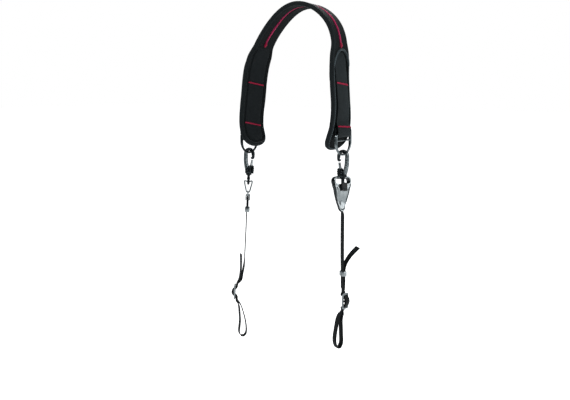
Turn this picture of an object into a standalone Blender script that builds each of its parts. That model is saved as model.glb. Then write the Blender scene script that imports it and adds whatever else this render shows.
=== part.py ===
"""Camera neck strap: a padded neck arch with red piping, two rings on sewn webbing tabs, two
swivel snap hooks, and below each a narrow adjustable strap that ends in a loop for a lug.

Metres, +Z up. The origin is the middle of the crown's underside, where the strap sits on the neck.
X runs from one lug to the other, and -Y is the front. The arch lies in the XZ plane."""

import math

import bmesh
import bpy
import numpy as np
from mathutils import Vector

MM = 0.001
REST = 0.3  # left between pieces that touch, in millimetres
PLAY = 0.35  # round pins and stems, in millimetres
GAP = REST * MM

# Padded arch
PAD_THICK = 5.5 * MM
ARCH_WIDTH = 35 * MM
END_WIDTH = 45 * MM
TIP_LENGTH = 20 * MM  # rounded end of each pad
TIP_POWER = 2.4  # roundness of that end: 2 is an ellipse, more is squarer
TIP_HALF_WIDTH = 6 * MM
WIDEN_FROM = 118 * MM  # from a tip, along the pad
WIDEN_TO = 138 * MM
EDGE = 1.1 * MM  # how far the rounded edge reaches over the face
EDGE_SHARE = 0.45  # flat share of the edge wall
TIP_THIN = 0.55  # share of the thickness left at the very tip
TIP_THIN_LENGTH = 3 * MM
# Middle of the pad's thickness, tip to tip, in millimetres: x, z
ARCH_MM = (
    (-73.6, -178.0),
    (-81.6, -161.7),
    (-80.9, -116.7),
    (-74.8, -76.7),
    (-62.7, -46.7),
    (-44.1, -21.7),
    (-4.4, 2.5),
    (44.4, -21.7),
    (53.3, -46.7),
    (53.2, -76.7),
    (55.7, -116.7),
    (51.6, -161.7),
    (43.0, -178.6),
)
# Outward lean of the front edge: share of the pad's length, radians
FLARE = (
    (0.05, 0.0),
    (0.14, 0.034),
    (0.35, 0.034),
    (0.5, 0.06),
    (0.65, 0.1),
    (0.86, 0.1),
    (0.95, 0.0),
)

# Channel in the pad's outer face, where the sewn webbing tab lies
CHANNEL_HALF = 15.6 * MM
CHANNEL_WALL = 0.5 * MM
CHANNEL_RIM = 3 * MM  # least width of pad left beside it
# Its depth, in millimetres: distance from the tip, depth
CHANNEL_DEPTHS_MM = ((3, 0.0), (10, 1.7), (48, 1.7), (76, 0.9), (96, 1.1), (114, 2.6), (126, 3.2))
MOUTH = 126 * MM  # top of the round mouth that the tab comes out of, from the tip
MOUTH_HEIGHT = 20 * MM

# Piping, laid in a seam along the middle of both faces
PIPING_RADIUS = 0.75 * MM
SEAM_HALF = 1.3 * MM
SEAM_DEPTH = 1.1 * MM
SEAM_RUN_OUT = 4 * MM  # length over which a seam deepens at its end
PIPING_OUTER_END = MOUTH + 6 * MM  # from a tip
PIPING_INNER_END = MOUTH + 11 * MM
SEAM_LEAD = 6 * MM  # of a seam, past the end of its piping
PIPING_LIFT = 0.1 * MM  # for the facets of the bend

# Webbing tab
TAB_THICK = 1.4 * MM
TAB_HALF = 15 * MM
TAB_TOP = MOUTH - 2 * MM
TAB_LEAVES_PAD = 38 * MM  # from the tip
TAB_RETURN = 9 * MM  # height of the folded end behind the ring's top bar
TAB_DROP = 6 * MM  # hangs straight this far above the bar
TAB_LIFT = 0.45 * MM  # over the channel's floor, which twists

# Ring: a slot for the tab over a D for the hook
RING_WIRE = 1.4 * MM
RING_HALF = 16.9 * MM
RING_CORNER = 1.9 * MM
RING_ARM = 10 * MM
RING_HEIGHT = 25 * MM
CROSS_BAR_DROP = 7.0 * MM
CROSS_BAR_RADIUS = 1.1 * MM
RING_PLAY = 0.5 * MM  # between the ring and the hook's bend

# Snap hook, in millimetres from the middle of its bend
HOOK_THICK = 4.2
HOOK_OUTER = 7.8
HOOK_INNER = 3.8
BASE_THICK = 6.4
COLLAR_TOP = -21.8
COLLAR_HEIGHT = 4.5
COLLAR_RADIUS = 4.8
COLLAR_BOTTOM = COLLAR_TOP - COLLAR_HEIGHT
PIVOT = (3.6, -17.6)
GATE_THICK = 2.2
GATE_SLOT = (9.6, GATE_THICK + 0.6, 8.0)
GATE_SLOT_AT = (5.3, 0, -17.3)
PIN_RADIUS = 0.9
HUB_RADIUS = 2.4
LIP = 1.2  # of the collar, under the swivel's head
HEAD_RADIUS = 2.9
HEAD_HEIGHT = 1.5
HEAD_PLAY = 0.6  # up and down, in the collar's pocket
NECK_RADIUS = 1.9

# Narrow strap
WEB_WIDTH = 8.2
WEB_THICK = 1.3
WEB_PITCH = WEB_THICK + REST  # between the middles of two layers

# Slider and keeper
SLIDER_WIDTH = 14.5
SLIDER_HEIGHT = 20.4
SLIDER_THICK = 2.0
SLIDER_BAR = 2.0
SLIDER_SLOT = (SLIDER_HEIGHT - 3 * SLIDER_BAR) / 2
SLIDER_SLOT_WIDTH = 9.2
SLIDER_SWING = 2.9  # of the strap to each side of the slider
SLIDER_BEND = 3.8  # from the middle of a slot to where the strap lies flat behind a bar
SLIDER_ENTRY = 0.6  # height above the slider at which the strap starts to bend
KEEPER_WIDTH = 10.8
KEEPER_HEIGHT = 6.3
KEEPER_PLAY = 0.45  # to each side of the two layers
THROUGH = 4.0  # how far a cutter runs past what it cuts

# One row for each side: name, outward direction, x and z of the hook's bend, lean of the chain
# in degrees, and the way that the lower part faces, in degrees about its own length
SIDES = (
    ("left", -1, -87.6 * MM, -190.0 * MM, 3.2, 35.0),
    ("right", 1, 59.8 * MM, -186.8 * MM, 0.0, 60.0),
)

# Materials: name, colour, roughness, metallic
FINISHES = {
    "pad": ("Pad fabric", (0.012, 0.014, 0.016), 0.85, 0.0),
    "tab": ("Webbing", (0.017, 0.021, 0.024), 0.8, 0.0),
    "piping": ("Red piping", (0.45, 0.006, 0.035), 0.6, 0.0),
    "dark": ("Black nickel", (0.05, 0.055, 0.06), 0.35, 1.0),
    "bright": ("Bright nickel", (0.6, 0.61, 0.62), 0.25, 1.0),
    "black": ("Black plastic", (0.015, 0.016, 0.018), 0.5, 0.0),
}


# --- scene, materials, placing


def clear_scene():
    for obj in list(bpy.data.objects):
        bpy.data.objects.remove(obj)


def collection(name):
    made = bpy.data.collections.new(name)
    bpy.context.scene.collection.children.link(made)
    return made


def finish(key):
    name, colour, roughness, metallic = FINISHES[key]
    mat = bpy.data.materials.get(name)
    if mat:
        return mat
    mat = bpy.data.materials.new(name)
    mat.use_nodes = True
    shader = mat.node_tree.nodes["Principled BSDF"]
    shader.inputs["Base Color"].default_value = (*colour, 1)
    shader.inputs["Roughness"].default_value = roughness
    shader.inputs["Metallic"].default_value = metallic
    mat.diffuse_color = (*colour, 1)
    return mat


def add(name, data, key, parent=None, at=(0, 0, 0), turn=(0, 0, 0)):
    """A part, placed in its parent's frame."""
    obj = bpy.data.objects.new(name, data)
    PARTS.objects.link(obj)
    obj.parent = parent
    obj.location = at
    obj.rotation_euler = turn
    if key:
        data.materials.clear()
        data.materials.append(finish(key))
    return obj


def empty(name, at, turn, parent=None):
    obj = bpy.data.objects.new(name, None)
    GUIDES.objects.link(obj)
    obj.parent = parent
    obj.location = at
    obj.rotation_euler = turn
    obj.empty_display_size = 10 * MM
    return obj


def as_tool(obj):
    """Moves a shape to the cutters, where the build leaves it out."""
    PARTS.objects.unlink(obj)
    GUIDES.objects.link(obj)
    obj.hide_render = True
    obj.display_type = "WIRE"
    return obj


def combine(target, other, operation):
    modifier = target.modifiers.new(f"{operation.title()} {other.name}", "BOOLEAN")
    modifier.operation = operation
    modifier.object = as_tool(other)


# --- curves and meshes


def smooth(points, steps):
    """A natural cubic curve through the points, with steps to each stretch."""
    p = np.array(points, float)
    knots = np.concatenate([[0], np.cumsum(np.linalg.norm(np.diff(p, axis=0), axis=1))])
    h = np.diff(knots)
    system = np.eye(len(p))
    load = np.zeros_like(p)
    for i in range(1, len(p) - 1):
        system[i, i - 1 : i + 2] = h[i - 1], 2 * (h[i - 1] + h[i]), h[i]
        load[i] = 6 * ((p[i + 1] - p[i]) / h[i] - (p[i] - p[i - 1]) / h[i - 1])
    bend = np.linalg.solve(system, load)
    made = []
    for i, length in enumerate(h):
        for t in np.linspace(0, 1, steps, endpoint=False):
            a, b = 1 - t, t
            made.append(
                a * p[i]
                + b * p[i + 1]
                + ((a**3 - a) * bend[i] + (b**3 - b) * bend[i + 1]) * length**2 / 6
            )
    made.append(p[-1])
    return np.array(made)


def lengths(points):
    return np.concatenate([[0], np.cumsum(np.linalg.norm(np.diff(points, axis=0), axis=1))])


def tangents(points):
    along = np.gradient(points, axis=0)
    return along / np.linalg.norm(along, axis=1)[:, None]


def arc(centre, radius, first, last, count):
    """Points on an arc, angles in degrees."""
    return [
        (centre[0] + radius * math.cos(a), centre[1] + radius * math.sin(a))
        for a in np.radians(np.linspace(first, last, count))
    ]


def ease(share):
    share = min(max(share, 0.0), 1.0)
    return share * share * (3 - 2 * share)


def mesh_of(name, curve):
    """The curve's shape as a mesh with its caps welded on."""
    holder = bpy.data.objects.new(name, curve)
    bpy.context.scene.collection.objects.link(holder)
    graph = bpy.context.evaluated_depsgraph_get()
    mesh = bpy.data.meshes.new_from_object(holder.evaluated_get(graph))
    bpy.data.objects.remove(holder)
    bm = bmesh.new()
    bm.from_mesh(mesh)
    bmesh.ops.remove_doubles(bm, verts=bm.verts, dist=0.000001)
    bm.to_mesh(mesh)
    bm.free()
    mesh.name = name
    return mesh


def plate_mesh(name, outline, thickness):
    """A flat plate of the outline, in its own XY plane. Sizes in millimetres."""
    curve = bpy.data.curves.new(name, "CURVE")
    curve.dimensions = "2D"
    curve.fill_mode = "BOTH"
    curve.extrude = thickness * MM / 2
    spline = curve.splines.new("POLY")
    spline.points.add(len(outline) - 1)
    for point, (x, y) in zip(spline.points, outline):
        point.co = (x * MM, y * MM, 0, 1)
    spline.use_cyclic_u = True
    return mesh_of(name, curve)


def wire_mesh(name, points, radius, closed=True, sides=8):
    curve = bpy.data.curves.new(name, "CURVE")
    curve.dimensions = "3D"
    curve.bevel_depth = radius
    curve.bevel_resolution = sides // 2 - 2
    curve.use_fill_caps = True
    spline = curve.splines.new("POLY")
    spline.points.add(len(points) - 1)
    for point, co in zip(spline.points, points):
        point.co = (*co, 1)
    spline.use_cyclic_u = closed
    mesh = mesh_of(name, curve)
    mesh.shade_smooth()
    return mesh


def box(name, size, key, parent=None, at=(0, 0, 0), turn=(0, 0, 0)):
    """A box, sizes and place in millimetres."""
    mesh = bpy.data.meshes.new(name)
    bm = bmesh.new()
    bmesh.ops.create_cube(bm, size=1)
    bmesh.ops.scale(bm, vec=Vector(size) * MM, verts=bm.verts)
    bm.to_mesh(mesh)
    bm.free()
    return add(name, mesh, key, parent, Vector(at) * MM, turn)


def drum(name, radius, depth, key, parent=None, at=(0, 0, 0), turn=(0, 0, 0), sides=20):
    """A cylinder about its own Z, sizes and place in millimetres."""
    mesh = bpy.data.meshes.new(name)
    bm = bmesh.new()
    bmesh.ops.create_cone(
        bm, cap_ends=True, segments=sides, radius1=radius * MM, radius2=radius * MM, depth=depth * MM
    )
    bm.to_mesh(mesh)
    bm.free()
    mesh.shade_smooth()
    mesh.set_sharp_from_angle(angle=math.radians(40))
    return add(name, mesh, key, parent, Vector(at) * MM, turn)


def torus_mesh(name, major, minor, major_sides=16, minor_sides=8):
    """A ring about its own Z, sizes in millimetres."""
    ring = [
        (major * MM * math.cos(a), major * MM * math.sin(a), 0)
        for a in np.linspace(0, 2 * math.pi, major_sides, endpoint=False)
    ]
    return wire_mesh(name, ring, minor * MM, sides=minor_sides)


def round_edges(obj, width, segments=1):
    modifier = obj.modifiers.new("Round edges", "BEVEL")
    modifier.width = width * MM
    modifier.segments = segments
    modifier.limit_method = "ANGLE"
    modifier.angle_limit = math.radians(50)
    obj.data.shade_smooth()
    obj.data.set_sharp_from_angle(angle=math.radians(50))


def loft(name, sections, key):
    """A closed solid through sections with the same number of points."""
    bm = bmesh.new()
    rows = [[bm.verts.new(point) for point in section] for section in sections]
    count = len(rows[0])
    for lower, upper in zip(rows, rows[1:]):
        for i in range(count):
            j = (i + 1) % count
            bm.faces.new((lower[i], lower[j], upper[j], upper[i]))
    bm.faces.new(rows[0])
    bm.faces.new(rows[-1])
    caps = [face for face in bm.faces if len(face.verts) > 4]
    bmesh.ops.triangulate(bm, faces=caps)
    bmesh.ops.recalc_face_normals(bm, faces=bm.faces)
    mesh = bpy.data.meshes.new(name)
    bm.to_mesh(mesh)
    bm.free()
    mesh.shade_smooth()
    mesh.set_sharp_from_angle(angle=math.radians(35))
    return add(name, mesh, key)


# --- padded arch


class Arch:
    """The middle line of the pad, and the frame of its cross-section anywhere along it."""

    def __init__(self):
        self.line = smooth(np.array(ARCH_MM) * MM, 24)
        self.along = lengths(self.line)
        self.length = self.along[-1]
        self.turning = tangents(self.line)

    def flare(self, s):
        shares, angles = zip(*FLARE)
        return float(np.interp(s / self.length, shares, angles))

    def frame(self, s):
        """(place, direction to the front edge, direction out of the outer face)"""
        x, z = (np.interp(s, self.along, self.line[:, k]) for k in (0, 1))
        tx, tz = (np.interp(s, self.along, self.turning[:, k]) for k in (0, 1))
        out = Vector((-tz, 0, tx)).normalized()
        front = Vector((0, -1, 0))
        angle = self.flare(s)
        lean_front = front * math.cos(angle) + out * math.sin(angle)
        lean_out = out * math.cos(angle) - front * math.sin(angle)
        return Vector((x, 0, z)), lean_front, lean_out

    def section(self, s, outline):
        place, front, out = self.frame(s)
        return [place + front * v + out * h for v, h in outline]

    def from_tip(self, side, distance):
        return distance if side < 0 else self.length - distance


def half_width(from_tip):
    """Half the pad's width at a distance from the nearer tip."""
    share = ease((from_tip - WIDEN_FROM) / (WIDEN_TO - WIDEN_FROM))
    half = (END_WIDTH + (ARCH_WIDTH - END_WIDTH) * share) / 2
    if from_tip < TIP_LENGTH:
        left = (TIP_LENGTH - from_tip) / TIP_LENGTH
        half *= (1 - left**TIP_POWER) ** (1 / TIP_POWER)
    return max(half, TIP_HALF_WIDTH)


def channel(from_tip):
    """(half-width, depth) of the channel for the tab: round and deep at its top, shallow at the tip."""
    if from_tip > MOUTH:
        return 2 * SEAM_HALF, 0.0
    half = min(CHANNEL_HALF, half_width(from_tip) - CHANNEL_RIM)
    rise = from_tip - (MOUTH - MOUTH_HEIGHT)
    if rise > 0:
        half *= math.sqrt(max(1 - (rise / MOUTH_HEIGHT) ** 2, 0))
    distances, depths = zip(*CHANNEL_DEPTHS_MM)
    return max(half, 2 * SEAM_HALF), float(np.interp(from_tip / MM, distances, depths)) * MM


def seam_depth(from_tip, end):
    return SEAM_DEPTH * ease((from_tip - end) / SEAM_RUN_OUT)


def pad_outline(from_tip):
    """The pad's cross-section: across, out."""
    a = half_width(from_tip)
    b = PAD_THICK / 2 * (TIP_THIN + (1 - TIP_THIN) * ease(from_tip / TIP_THIN_LENGTH))
    c, depth = channel(from_tip)
    floor = b - depth
    outer_seam = floor - seam_depth(from_tip, PIPING_OUTER_END - SEAM_LEAD)
    inner_seam = -b + seam_depth(from_tip, PIPING_INNER_END - SEAM_LEAD)
    wall = b * EDGE_SHARE
    right = [
        (a, -wall),
        (a, wall),
        (a - EDGE, b),
        (c + CHANNEL_WALL, b),
        (c, floor),
        (SEAM_HALF, floor),
    ]
    outer = right + [(0, outer_seam)] + [(-v, h) for v, h in reversed(right)]
    return outer + [(-a + EDGE, -b), (-SEAM_HALF, -b), (0, inner_seam), (SEAM_HALF, -b), (a - EDGE, -b)]


def end_stations():
    """Distances from a tip where the pad's end changes shape."""
    tip = [TIP_LENGTH * (1 - math.cos(a)) for a in np.radians(np.linspace(0, 90, 8))]
    base = MOUTH - MOUTH_HEIGHT
    limb = list(np.linspace(TIP_LENGTH, base, 9))[1:]
    rises = np.radians((15, 32, 48, 62, 74, 84, 90))
    mouth = [base + MOUTH_HEIGHT * math.sin(a) for a in rises]
    above = [MOUTH + step * MM for step in (0.4, 4, 8, 12)]
    return tip + limb + mouth + above


def shoulder_pad(arch):
    ends = end_stations()
    middle = list(np.linspace(ends[-1], arch.length - ends[-1], 24))[1:-1]
    stations = ends + middle + [arch.length - e for e in reversed(ends)]
    sections = []
    for s in stations:
        sections.append(arch.section(s, pad_outline(min(s, arch.length - s))))
    return loft("shoulder_pad", sections, "pad")


def piping(arch, name, face, end):
    """A round cord in the seam of the outer (1) or inner (-1) face."""
    slope = math.atan2(SEAM_HALF, SEAM_DEPTH)
    lift = PAD_THICK / 2 - SEAM_DEPTH + (PIPING_RADIUS + GAP) / math.sin(slope) + PIPING_LIFT
    points = []
    for s in np.linspace(end, arch.length - end, 46):
        place, _, out = arch.frame(s)
        points.append(place + out * (face * lift))
    add(name, wire_mesh(name, points, PIPING_RADIUS, closed=False, sides=6), "piping")


# --- webbing tabs and rings


def tab(arch, name, side, bar):
    """The webbing sewn to the pad: out of the mouth, down the channel, round the ring's top bar."""
    lift = PAD_THICK / 2 + TAB_LIFT + TAB_THICK / 2
    wrap = RING_WIRE + GAP + TAB_THICK / 2
    distances = [e for e in end_stations() if TAB_LEAVES_PAD <= e <= TAB_TOP][::-1]
    laid = []
    for distance in distances:
        place, front, out = arch.frame(arch.from_tip(side, distance))
        laid.append((place + out * (lift - channel(distance)[1]), front, out))
    outward = Vector((side, 0, 0))
    at_bar = bar + outward * wrap
    last = laid[-1][0]
    before = laid[-2][0]
    hanging = smooth([before, last, at_bar + Vector((0, 0, TAB_DROP)), at_bar], 5)[6:]
    front = Vector((0, -1, 0))
    rows = [(*frame, half_at(distance)) for frame, distance in zip(laid, distances)]
    runs = lengths(hanging)
    for i, place in enumerate(hanging[:-1]):
        along = Vector(hanging[i + 1] - hanging[i]).normalized()
        lean = arch.frame(arch.from_tip(side, distances[-1] - runs[i]))[1]
        out = lean.cross(along)
        out *= math.copysign(1, out.dot(outward))
        rows.append((Vector(place), lean, out.normalized(), TAB_HALF))
    for angle in np.radians(np.linspace(0, 180, 8)):
        out = outward * math.cos(angle) - Vector((0, 0, math.sin(angle)))
        rows.append((bar + out * wrap, front, out, TAB_HALF))
    for height in (TAB_RETURN / 2, TAB_RETURN):
        rows.append((bar - outward * wrap + Vector((0, 0, height)), front, -outward, TAB_HALF))
    t = TAB_THICK / 2
    sections = [
        [place + lean * v + out * h for v, h in ((half, -t), (half, t), (-half, t), (-half, -t))]
        for place, lean, out, half in rows
    ]
    return loft(name, sections, "tab")


def half_at(distance):
    """Half the tab's width: it fills the channel, less the gap, up to its full width."""
    return min(channel(distance)[0] - 1.5 * GAP, TAB_HALF)


def ring(name, x, z):
    """A cast ring, its top bar's middle at (x, z): a slot for the tab over a D for the hook."""
    corner = [
        (RING_HALF - RING_CORNER + v, -RING_CORNER + h)
        for v, h in arc((0, 0), RING_CORNER, 90, 0, 4)
    ]
    bow_height = RING_HEIGHT - RING_ARM
    bow = [
        (RING_HALF * math.cos(a), -RING_ARM - bow_height * math.sin(a))
        for a in np.radians(np.linspace(0, 90, 8))
    ]
    half = corner + bow
    outline = half + [(-v, h) for v, h in reversed(half[:-1])]
    points = [(0, v, h) for v, h in outline]
    obj = add(name, wire_mesh(name, points, RING_WIRE), "dark", at=(x, 0, z))
    bar = drum(
        f"{name}_cross_bar",
        CROSS_BAR_RADIUS / MM,
        2 * RING_HALF / MM,
        "dark",
        at=(x / MM, 0, (z - CROSS_BAR_DROP) / MM),
        turn=(math.radians(90), 0, 0),
        sides=8,
    )
    combine(obj, bar, "UNION")
    return obj


# --- snap hooks, in the hook's plane: across towards the opening, up


UPRIGHT = (math.radians(90), 0, 0)  # stands a flat outline up


def hinge_drum(name, radius, depth, frame, sides):
    """A cylinder on the gate's hinge."""
    return drum(name, radius, depth, None, frame, (PIVOT[0], 0, PIVOT[1]), UPRIGHT, sides)


def hook(name, frame):
    """The cast body: bend, shank, fork for the gate, and the collar that holds the swivel."""
    shank_outer = [(-4.6, COLLAR_TOP), (-5.4, -18), (-6.9, -10), (-7.7, -3)]
    tip = [(7.7, -3.4), (7.5, -5.6), (6.9, -7.0), (5.7, -7.0), (5.5, -4.8), (4.3, -2.6)]
    shank_inner = [(-3.8, -3), (-3.1, -9), (-1.6, -14), (-0.6, -16), (-0.6, COLLAR_TOP)]
    outline = (
        shank_outer
        + arc((0, 0), HOOK_OUTER, 180, 0, 15)
        + tip
        + arc((0, 0), HOOK_INNER, 0, 180, 11)
        + shank_inner
    )
    body = add(name, plate_mesh(name, outline, HOOK_THICK), "dark", frame, turn=UPRIGHT)
    round_edges(body, 0.9, 2)
    fork = [(-4.6, COLLAR_TOP - 0.5), (-5.0, -19.5), (-4.0, -15.6), (0.5, -15.0), (3.6, -14.2)]
    fork += [(6.0, -15.2), (6.8, -17.6), (6.2, -20), (4.4, COLLAR_TOP - 0.5)]
    cheeks = plate_mesh(f"{name}_fork", fork, BASE_THICK)
    cheeks = add(f"{name}_fork", cheeks, "dark", frame, turn=UPRIGHT)
    round_edges(cheeks, 0.6)
    middle = COLLAR_TOP - COLLAR_HEIGHT / 2
    collar = drum(f"{name}_collar", COLLAR_RADIUS, COLLAR_HEIGHT, "dark", frame, at=(0, 0, middle))
    round_edges(collar, 0.7)
    slot = box(f"{name}_slot", GATE_SLOT, None, frame, at=GATE_SLOT_AT)
    pin = hinge_drum(f"{name}_pin", PIN_RADIUS, BASE_THICK - 1, frame, sides=10)
    pocket_height = HEAD_HEIGHT + HEAD_PLAY
    pocket = drum(
        f"{name}_pocket",
        HEAD_RADIUS + PLAY,
        pocket_height,
        None,
        frame,
        at=(0, 0, COLLAR_BOTTOM + LIP + pocket_height / 2),
    )
    mouth = drum(
        f"{name}_mouth",
        NECK_RADIUS + PLAY,
        2 * LIP,
        None,
        frame,
        at=(0, 0, COLLAR_BOTTOM + REST),
    )
    combine(body, cheeks, "UNION")
    combine(body, collar, "UNION")
    combine(body, slot, "DIFFERENCE")
    combine(body, pin, "UNION")
    combine(body, pocket, "DIFFERENCE")
    combine(body, mouth, "DIFFERENCE")
    return body


def gate(name, frame):
    """The sprung gate with its thumb lever, its origin on its hinge."""
    blade = [(0.9, 3.4), (0.7, 9.0), (1.2, 12.1), (-0.3, 12.1), (-1.0, 9.0), (-1.3, 3.0)]
    hub = arc((0, 0), HUB_RADIUS, 120, 315, 10)
    lever = [(3.0, -3.2), (4.9, -3.6), (5.4, -1.4), (4.6, 0.8), (2.6, 1.6)]
    outline = blade + hub + lever
    place = Vector((PIVOT[0], 0, PIVOT[1])) * MM
    body = add(name, plate_mesh(name, outline, GATE_THICK), "bright", frame, place, UPRIGHT)
    eye = hinge_drum(f"{name}_eye", PIN_RADIUS + PLAY, GATE_THICK + THROUGH, frame, sides=12)
    combine(body, eye, "DIFFERENCE")
    return body


def swivel_stem(name, hang, length):
    """The turned head and neck, its origin on the swivel's axis."""
    head = COLLAR_BOTTOM + LIP + HEAD_PLAY / 2 + HEAD_HEIGHT / 2
    body = drum(name, HEAD_RADIUS, HEAD_HEIGHT, "dark", hang, at=(0, 0, head), sides=16)
    middle = head - length / 2
    neck = drum(f"{name}_neck", NECK_RADIUS, length, "dark", hang, at=(0, 0, middle), sides=12)
    combine(body, neck, "UNION")
    return body


# --- left drop: swivel eye, link, clamp


EYE_STEM = 10.0
EYE_DROP = -37.2
EYE_MAJOR = 3.6
EYE_MINOR = 1.7
LINK_WIRE = 0.85
LINK_BOTTOM = -52.7
# One half of the link from the top: across, up
LINK_TOP_MM = [(0, -37.95), (2.4, -38.25), (4.6, -39.05)]
LINK_CORNER_MM = (4.8, -40.05)
LINK_CORNER = 1.0
LINK_SIDE_MM = [(3.6, -46.0), (2.4, -50.6), (1.7, -52.0), (0.8, -52.65)]
CLAMP_EYE_MAJOR = 2.6
CLAMP_EYE_MINOR = 0.8
CLAMP_TOP = -55.3
CLAMP_BOTTOM = -63.2
CLAMP_WALL = 1.2
CLAMP_SIDE = 0.8  # wider than the strap, to each side
CLAMP_SLOPE = 1.0  # drop of its shoulders
CLAMP_EYE_FOOT = 1.6  # half the flat that the eye stands on, and the wall above the slot
ACROSS = (math.radians(90), 0, math.radians(90))  # stands a ring in the plane across the drop


def eye_swivel(name, hang):
    body = swivel_stem(name, hang, EYE_STEM)
    eye = torus_mesh(f"{name}_eye", EYE_MAJOR, EYE_MINOR)
    eye = add(f"{name}_eye", eye, "dark", hang, (0, 0, EYE_DROP * MM), ACROSS)
    combine(body, eye, "UNION")
    return body


def link(name, hang):
    """A kite of wire through the swivel's eye and the clamp's eye."""
    half = LINK_TOP_MM + arc(LINK_CORNER_MM, LINK_CORNER, 60, -15, 3) + LINK_SIDE_MM
    outline = half + [(0, LINK_BOTTOM)] + [(-u, z) for u, z in reversed(half[1:])]
    points = [(u * MM, 0, z * MM) for u, z in outline]
    return add(name, wire_mesh(name, points, LINK_WIRE * MM, sides=6), "dark", hang)


def clamp(name, hang):
    """A folded clamp over the strap's doubled end, with an eye on the link."""
    slot = WEB_PITCH / 2 + WEB_THICK / 2 + REST
    wall = slot + CLAMP_WALL
    shoulder = CLAMP_TOP - CLAMP_SLOPE
    slot_top = CLAMP_TOP - CLAMP_EYE_FOOT
    outline = [
        (-wall, CLAMP_BOTTOM),
        (-wall, shoulder),
        (-CLAMP_EYE_FOOT, CLAMP_TOP),
        (CLAMP_EYE_FOOT, CLAMP_TOP),
        (wall, shoulder),
        (wall, CLAMP_BOTTOM),
        (slot, CLAMP_BOTTOM),
        (slot, slot_top),
        (-slot, slot_top),
        (-slot, CLAMP_BOTTOM),
    ]
    body = plate_mesh(name, outline, WEB_WIDTH + 2 * CLAMP_SIDE)
    body = add(name, body, "bright", hang, turn=UPRIGHT)
    round_edges(body, 0.35)
    centre = LINK_BOTTOM + LINK_WIRE + REST - (CLAMP_EYE_MAJOR - CLAMP_EYE_MINOR)
    eye = add(
        f"{name}_eye",
        torus_mesh(f"{name}_eye", CLAMP_EYE_MAJOR, CLAMP_EYE_MINOR, 14, 6),
        "bright",
        hang,
        (0, 0, centre * MM),
        ACROSS,
    )
    combine(body, eye, "UNION")
    return body


# --- right drop: swivel foot, pear-shaped clip


CLIP_DEPTH = 10.0
CLIP_TOP = -26.9
CLIP_TILT = 10.7
CLIP_ROLL = 2.5
CLIP_TIP = -70.6
# Outline of the clip: half its width, drop from its top
CLIP_HALF_MM = (
    (3.4, 0.0),
    (6.6, -1.6),
    (9.6, -0.6),
    (11.6, 2.4),
    (12.0, 6.2),
    (11.4, 10.2),
    (9.6, 14.6),
    (8.9, 20.0),
    (7.8, 26.0),
    (6.4, 31.6),
    (4.6, 37.4),
    (3.0, 41.6),
    (2.0, 43.7),
)
CLIP_HOLE_HALF = 8.8
CLIP_HOLE_TOP = 1.8
CLIP_HOLE_BOTTOM = 8.6
POCKET_DEPTH = 6.0  # for the strap's end, in the tip
POCKET_PLAY = 0.3
STUD_RADIUS = 1.6
STUD_DROP = 14.4
RIVET_RADIUS = 3.2
RIVET_HEIGHT = 1.0
FOOT_STEM = 10.7
FOOT = (8.0, 3.7, 10.8)
FOOT_DROP = 12.4


def tilted(hang, name):
    """The clip's frame: its origin at the clip's tip, on the swivel's axis, its top leaning back."""
    turn = (-math.radians(CLIP_TILT), math.radians(CLIP_ROLL), 0)
    return empty(name, (0, 0, CLIP_TIP * MM), turn, hang)


def clip(name, lean):
    """The clip, its plate standing in the frame's XZ plane with the tip at the origin."""
    tall = CLIP_TOP - CLIP_TIP
    half = [(v, tall - drop) for v, drop in CLIP_HALF_MM]
    outline = [(0, tall)] + half + [(-v, h) for v, h in reversed(half)]
    body = add(name, plate_mesh(name, outline, CLIP_DEPTH), "bright", lean, turn=UPRIGHT)
    round_edges(body, 0.8, 2)
    hole_radius = (CLIP_HOLE_BOTTOM - CLIP_HOLE_TOP) / 2
    hole_middle = tall - (CLIP_HOLE_TOP + CLIP_HOLE_BOTTOM) / 2
    run = CLIP_HOLE_HALF - hole_radius
    ends = [(u + run, z + hole_middle) for u, z in arc((0, 0), hole_radius, 90, -90, 8)]
    ends += [(u - run, z + hole_middle) for u, z in arc((0, 0), hole_radius, 270, 90, 8)]
    hole = plate_mesh(f"{name}_hole", ends, CLIP_DEPTH + THROUGH)
    hole = add(f"{name}_hole", hole, None, lean, turn=UPRIGHT)
    stud_hole = drum(
        f"{name}_stud_hole",
        STUD_RADIUS + PLAY,
        CLIP_DEPTH + THROUGH,
        None,
        lean,
        at=(0, 0, tall - STUD_DROP),
        turn=UPRIGHT,
        sides=12,
    )
    pocket = box(
        f"{name}_pocket",
        (WEB_THICK + 2 * POCKET_PLAY, WEB_WIDTH + 2 * POCKET_PLAY, 2 * POCKET_DEPTH),
        None,
        lean.parent,
        at=(0, 0, CLIP_TIP),
    )
    combine(body, hole, "DIFFERENCE")
    combine(body, stud_hole, "DIFFERENCE")
    combine(body, pocket, "DIFFERENCE")
    return body


def foot_swivel(name, hang, lean):
    """A swivel stem that ends in a block, riveted through the clip."""
    body = swivel_stem(name, hang, FOOT_STEM)
    tall = CLIP_TOP - CLIP_TIP
    front = CLIP_DEPTH / 2 + REST
    place = (0, -front - FOOT[1] / 2, tall - FOOT_DROP)
    block = box(f"{name}_block", FOOT, "black", lean, at=place)
    round_edges(block, 0.7)
    stud = drum(
        f"{name}_stud",
        STUD_RADIUS,
        2 * (front + RIVET_HEIGHT / 2),
        None,
        lean,
        at=(0, 0, tall - STUD_DROP),
        turn=UPRIGHT,
        sides=10,
    )
    rivet = drum(
        f"{name}_rivet",
        RIVET_RADIUS,
        RIVET_HEIGHT,
        None,
        lean,
        at=(0, front + RIVET_HEIGHT / 2, tall - STUD_DROP),
        turn=UPRIGHT,
        sides=12,
    )
    combine(body, block, "UNION")
    combine(body, stud, "UNION")
    combine(body, rivet, "UNION")
    return body


# --- narrow straps, keepers, sliders: across, up, in millimetres from the hook's bend


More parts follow.
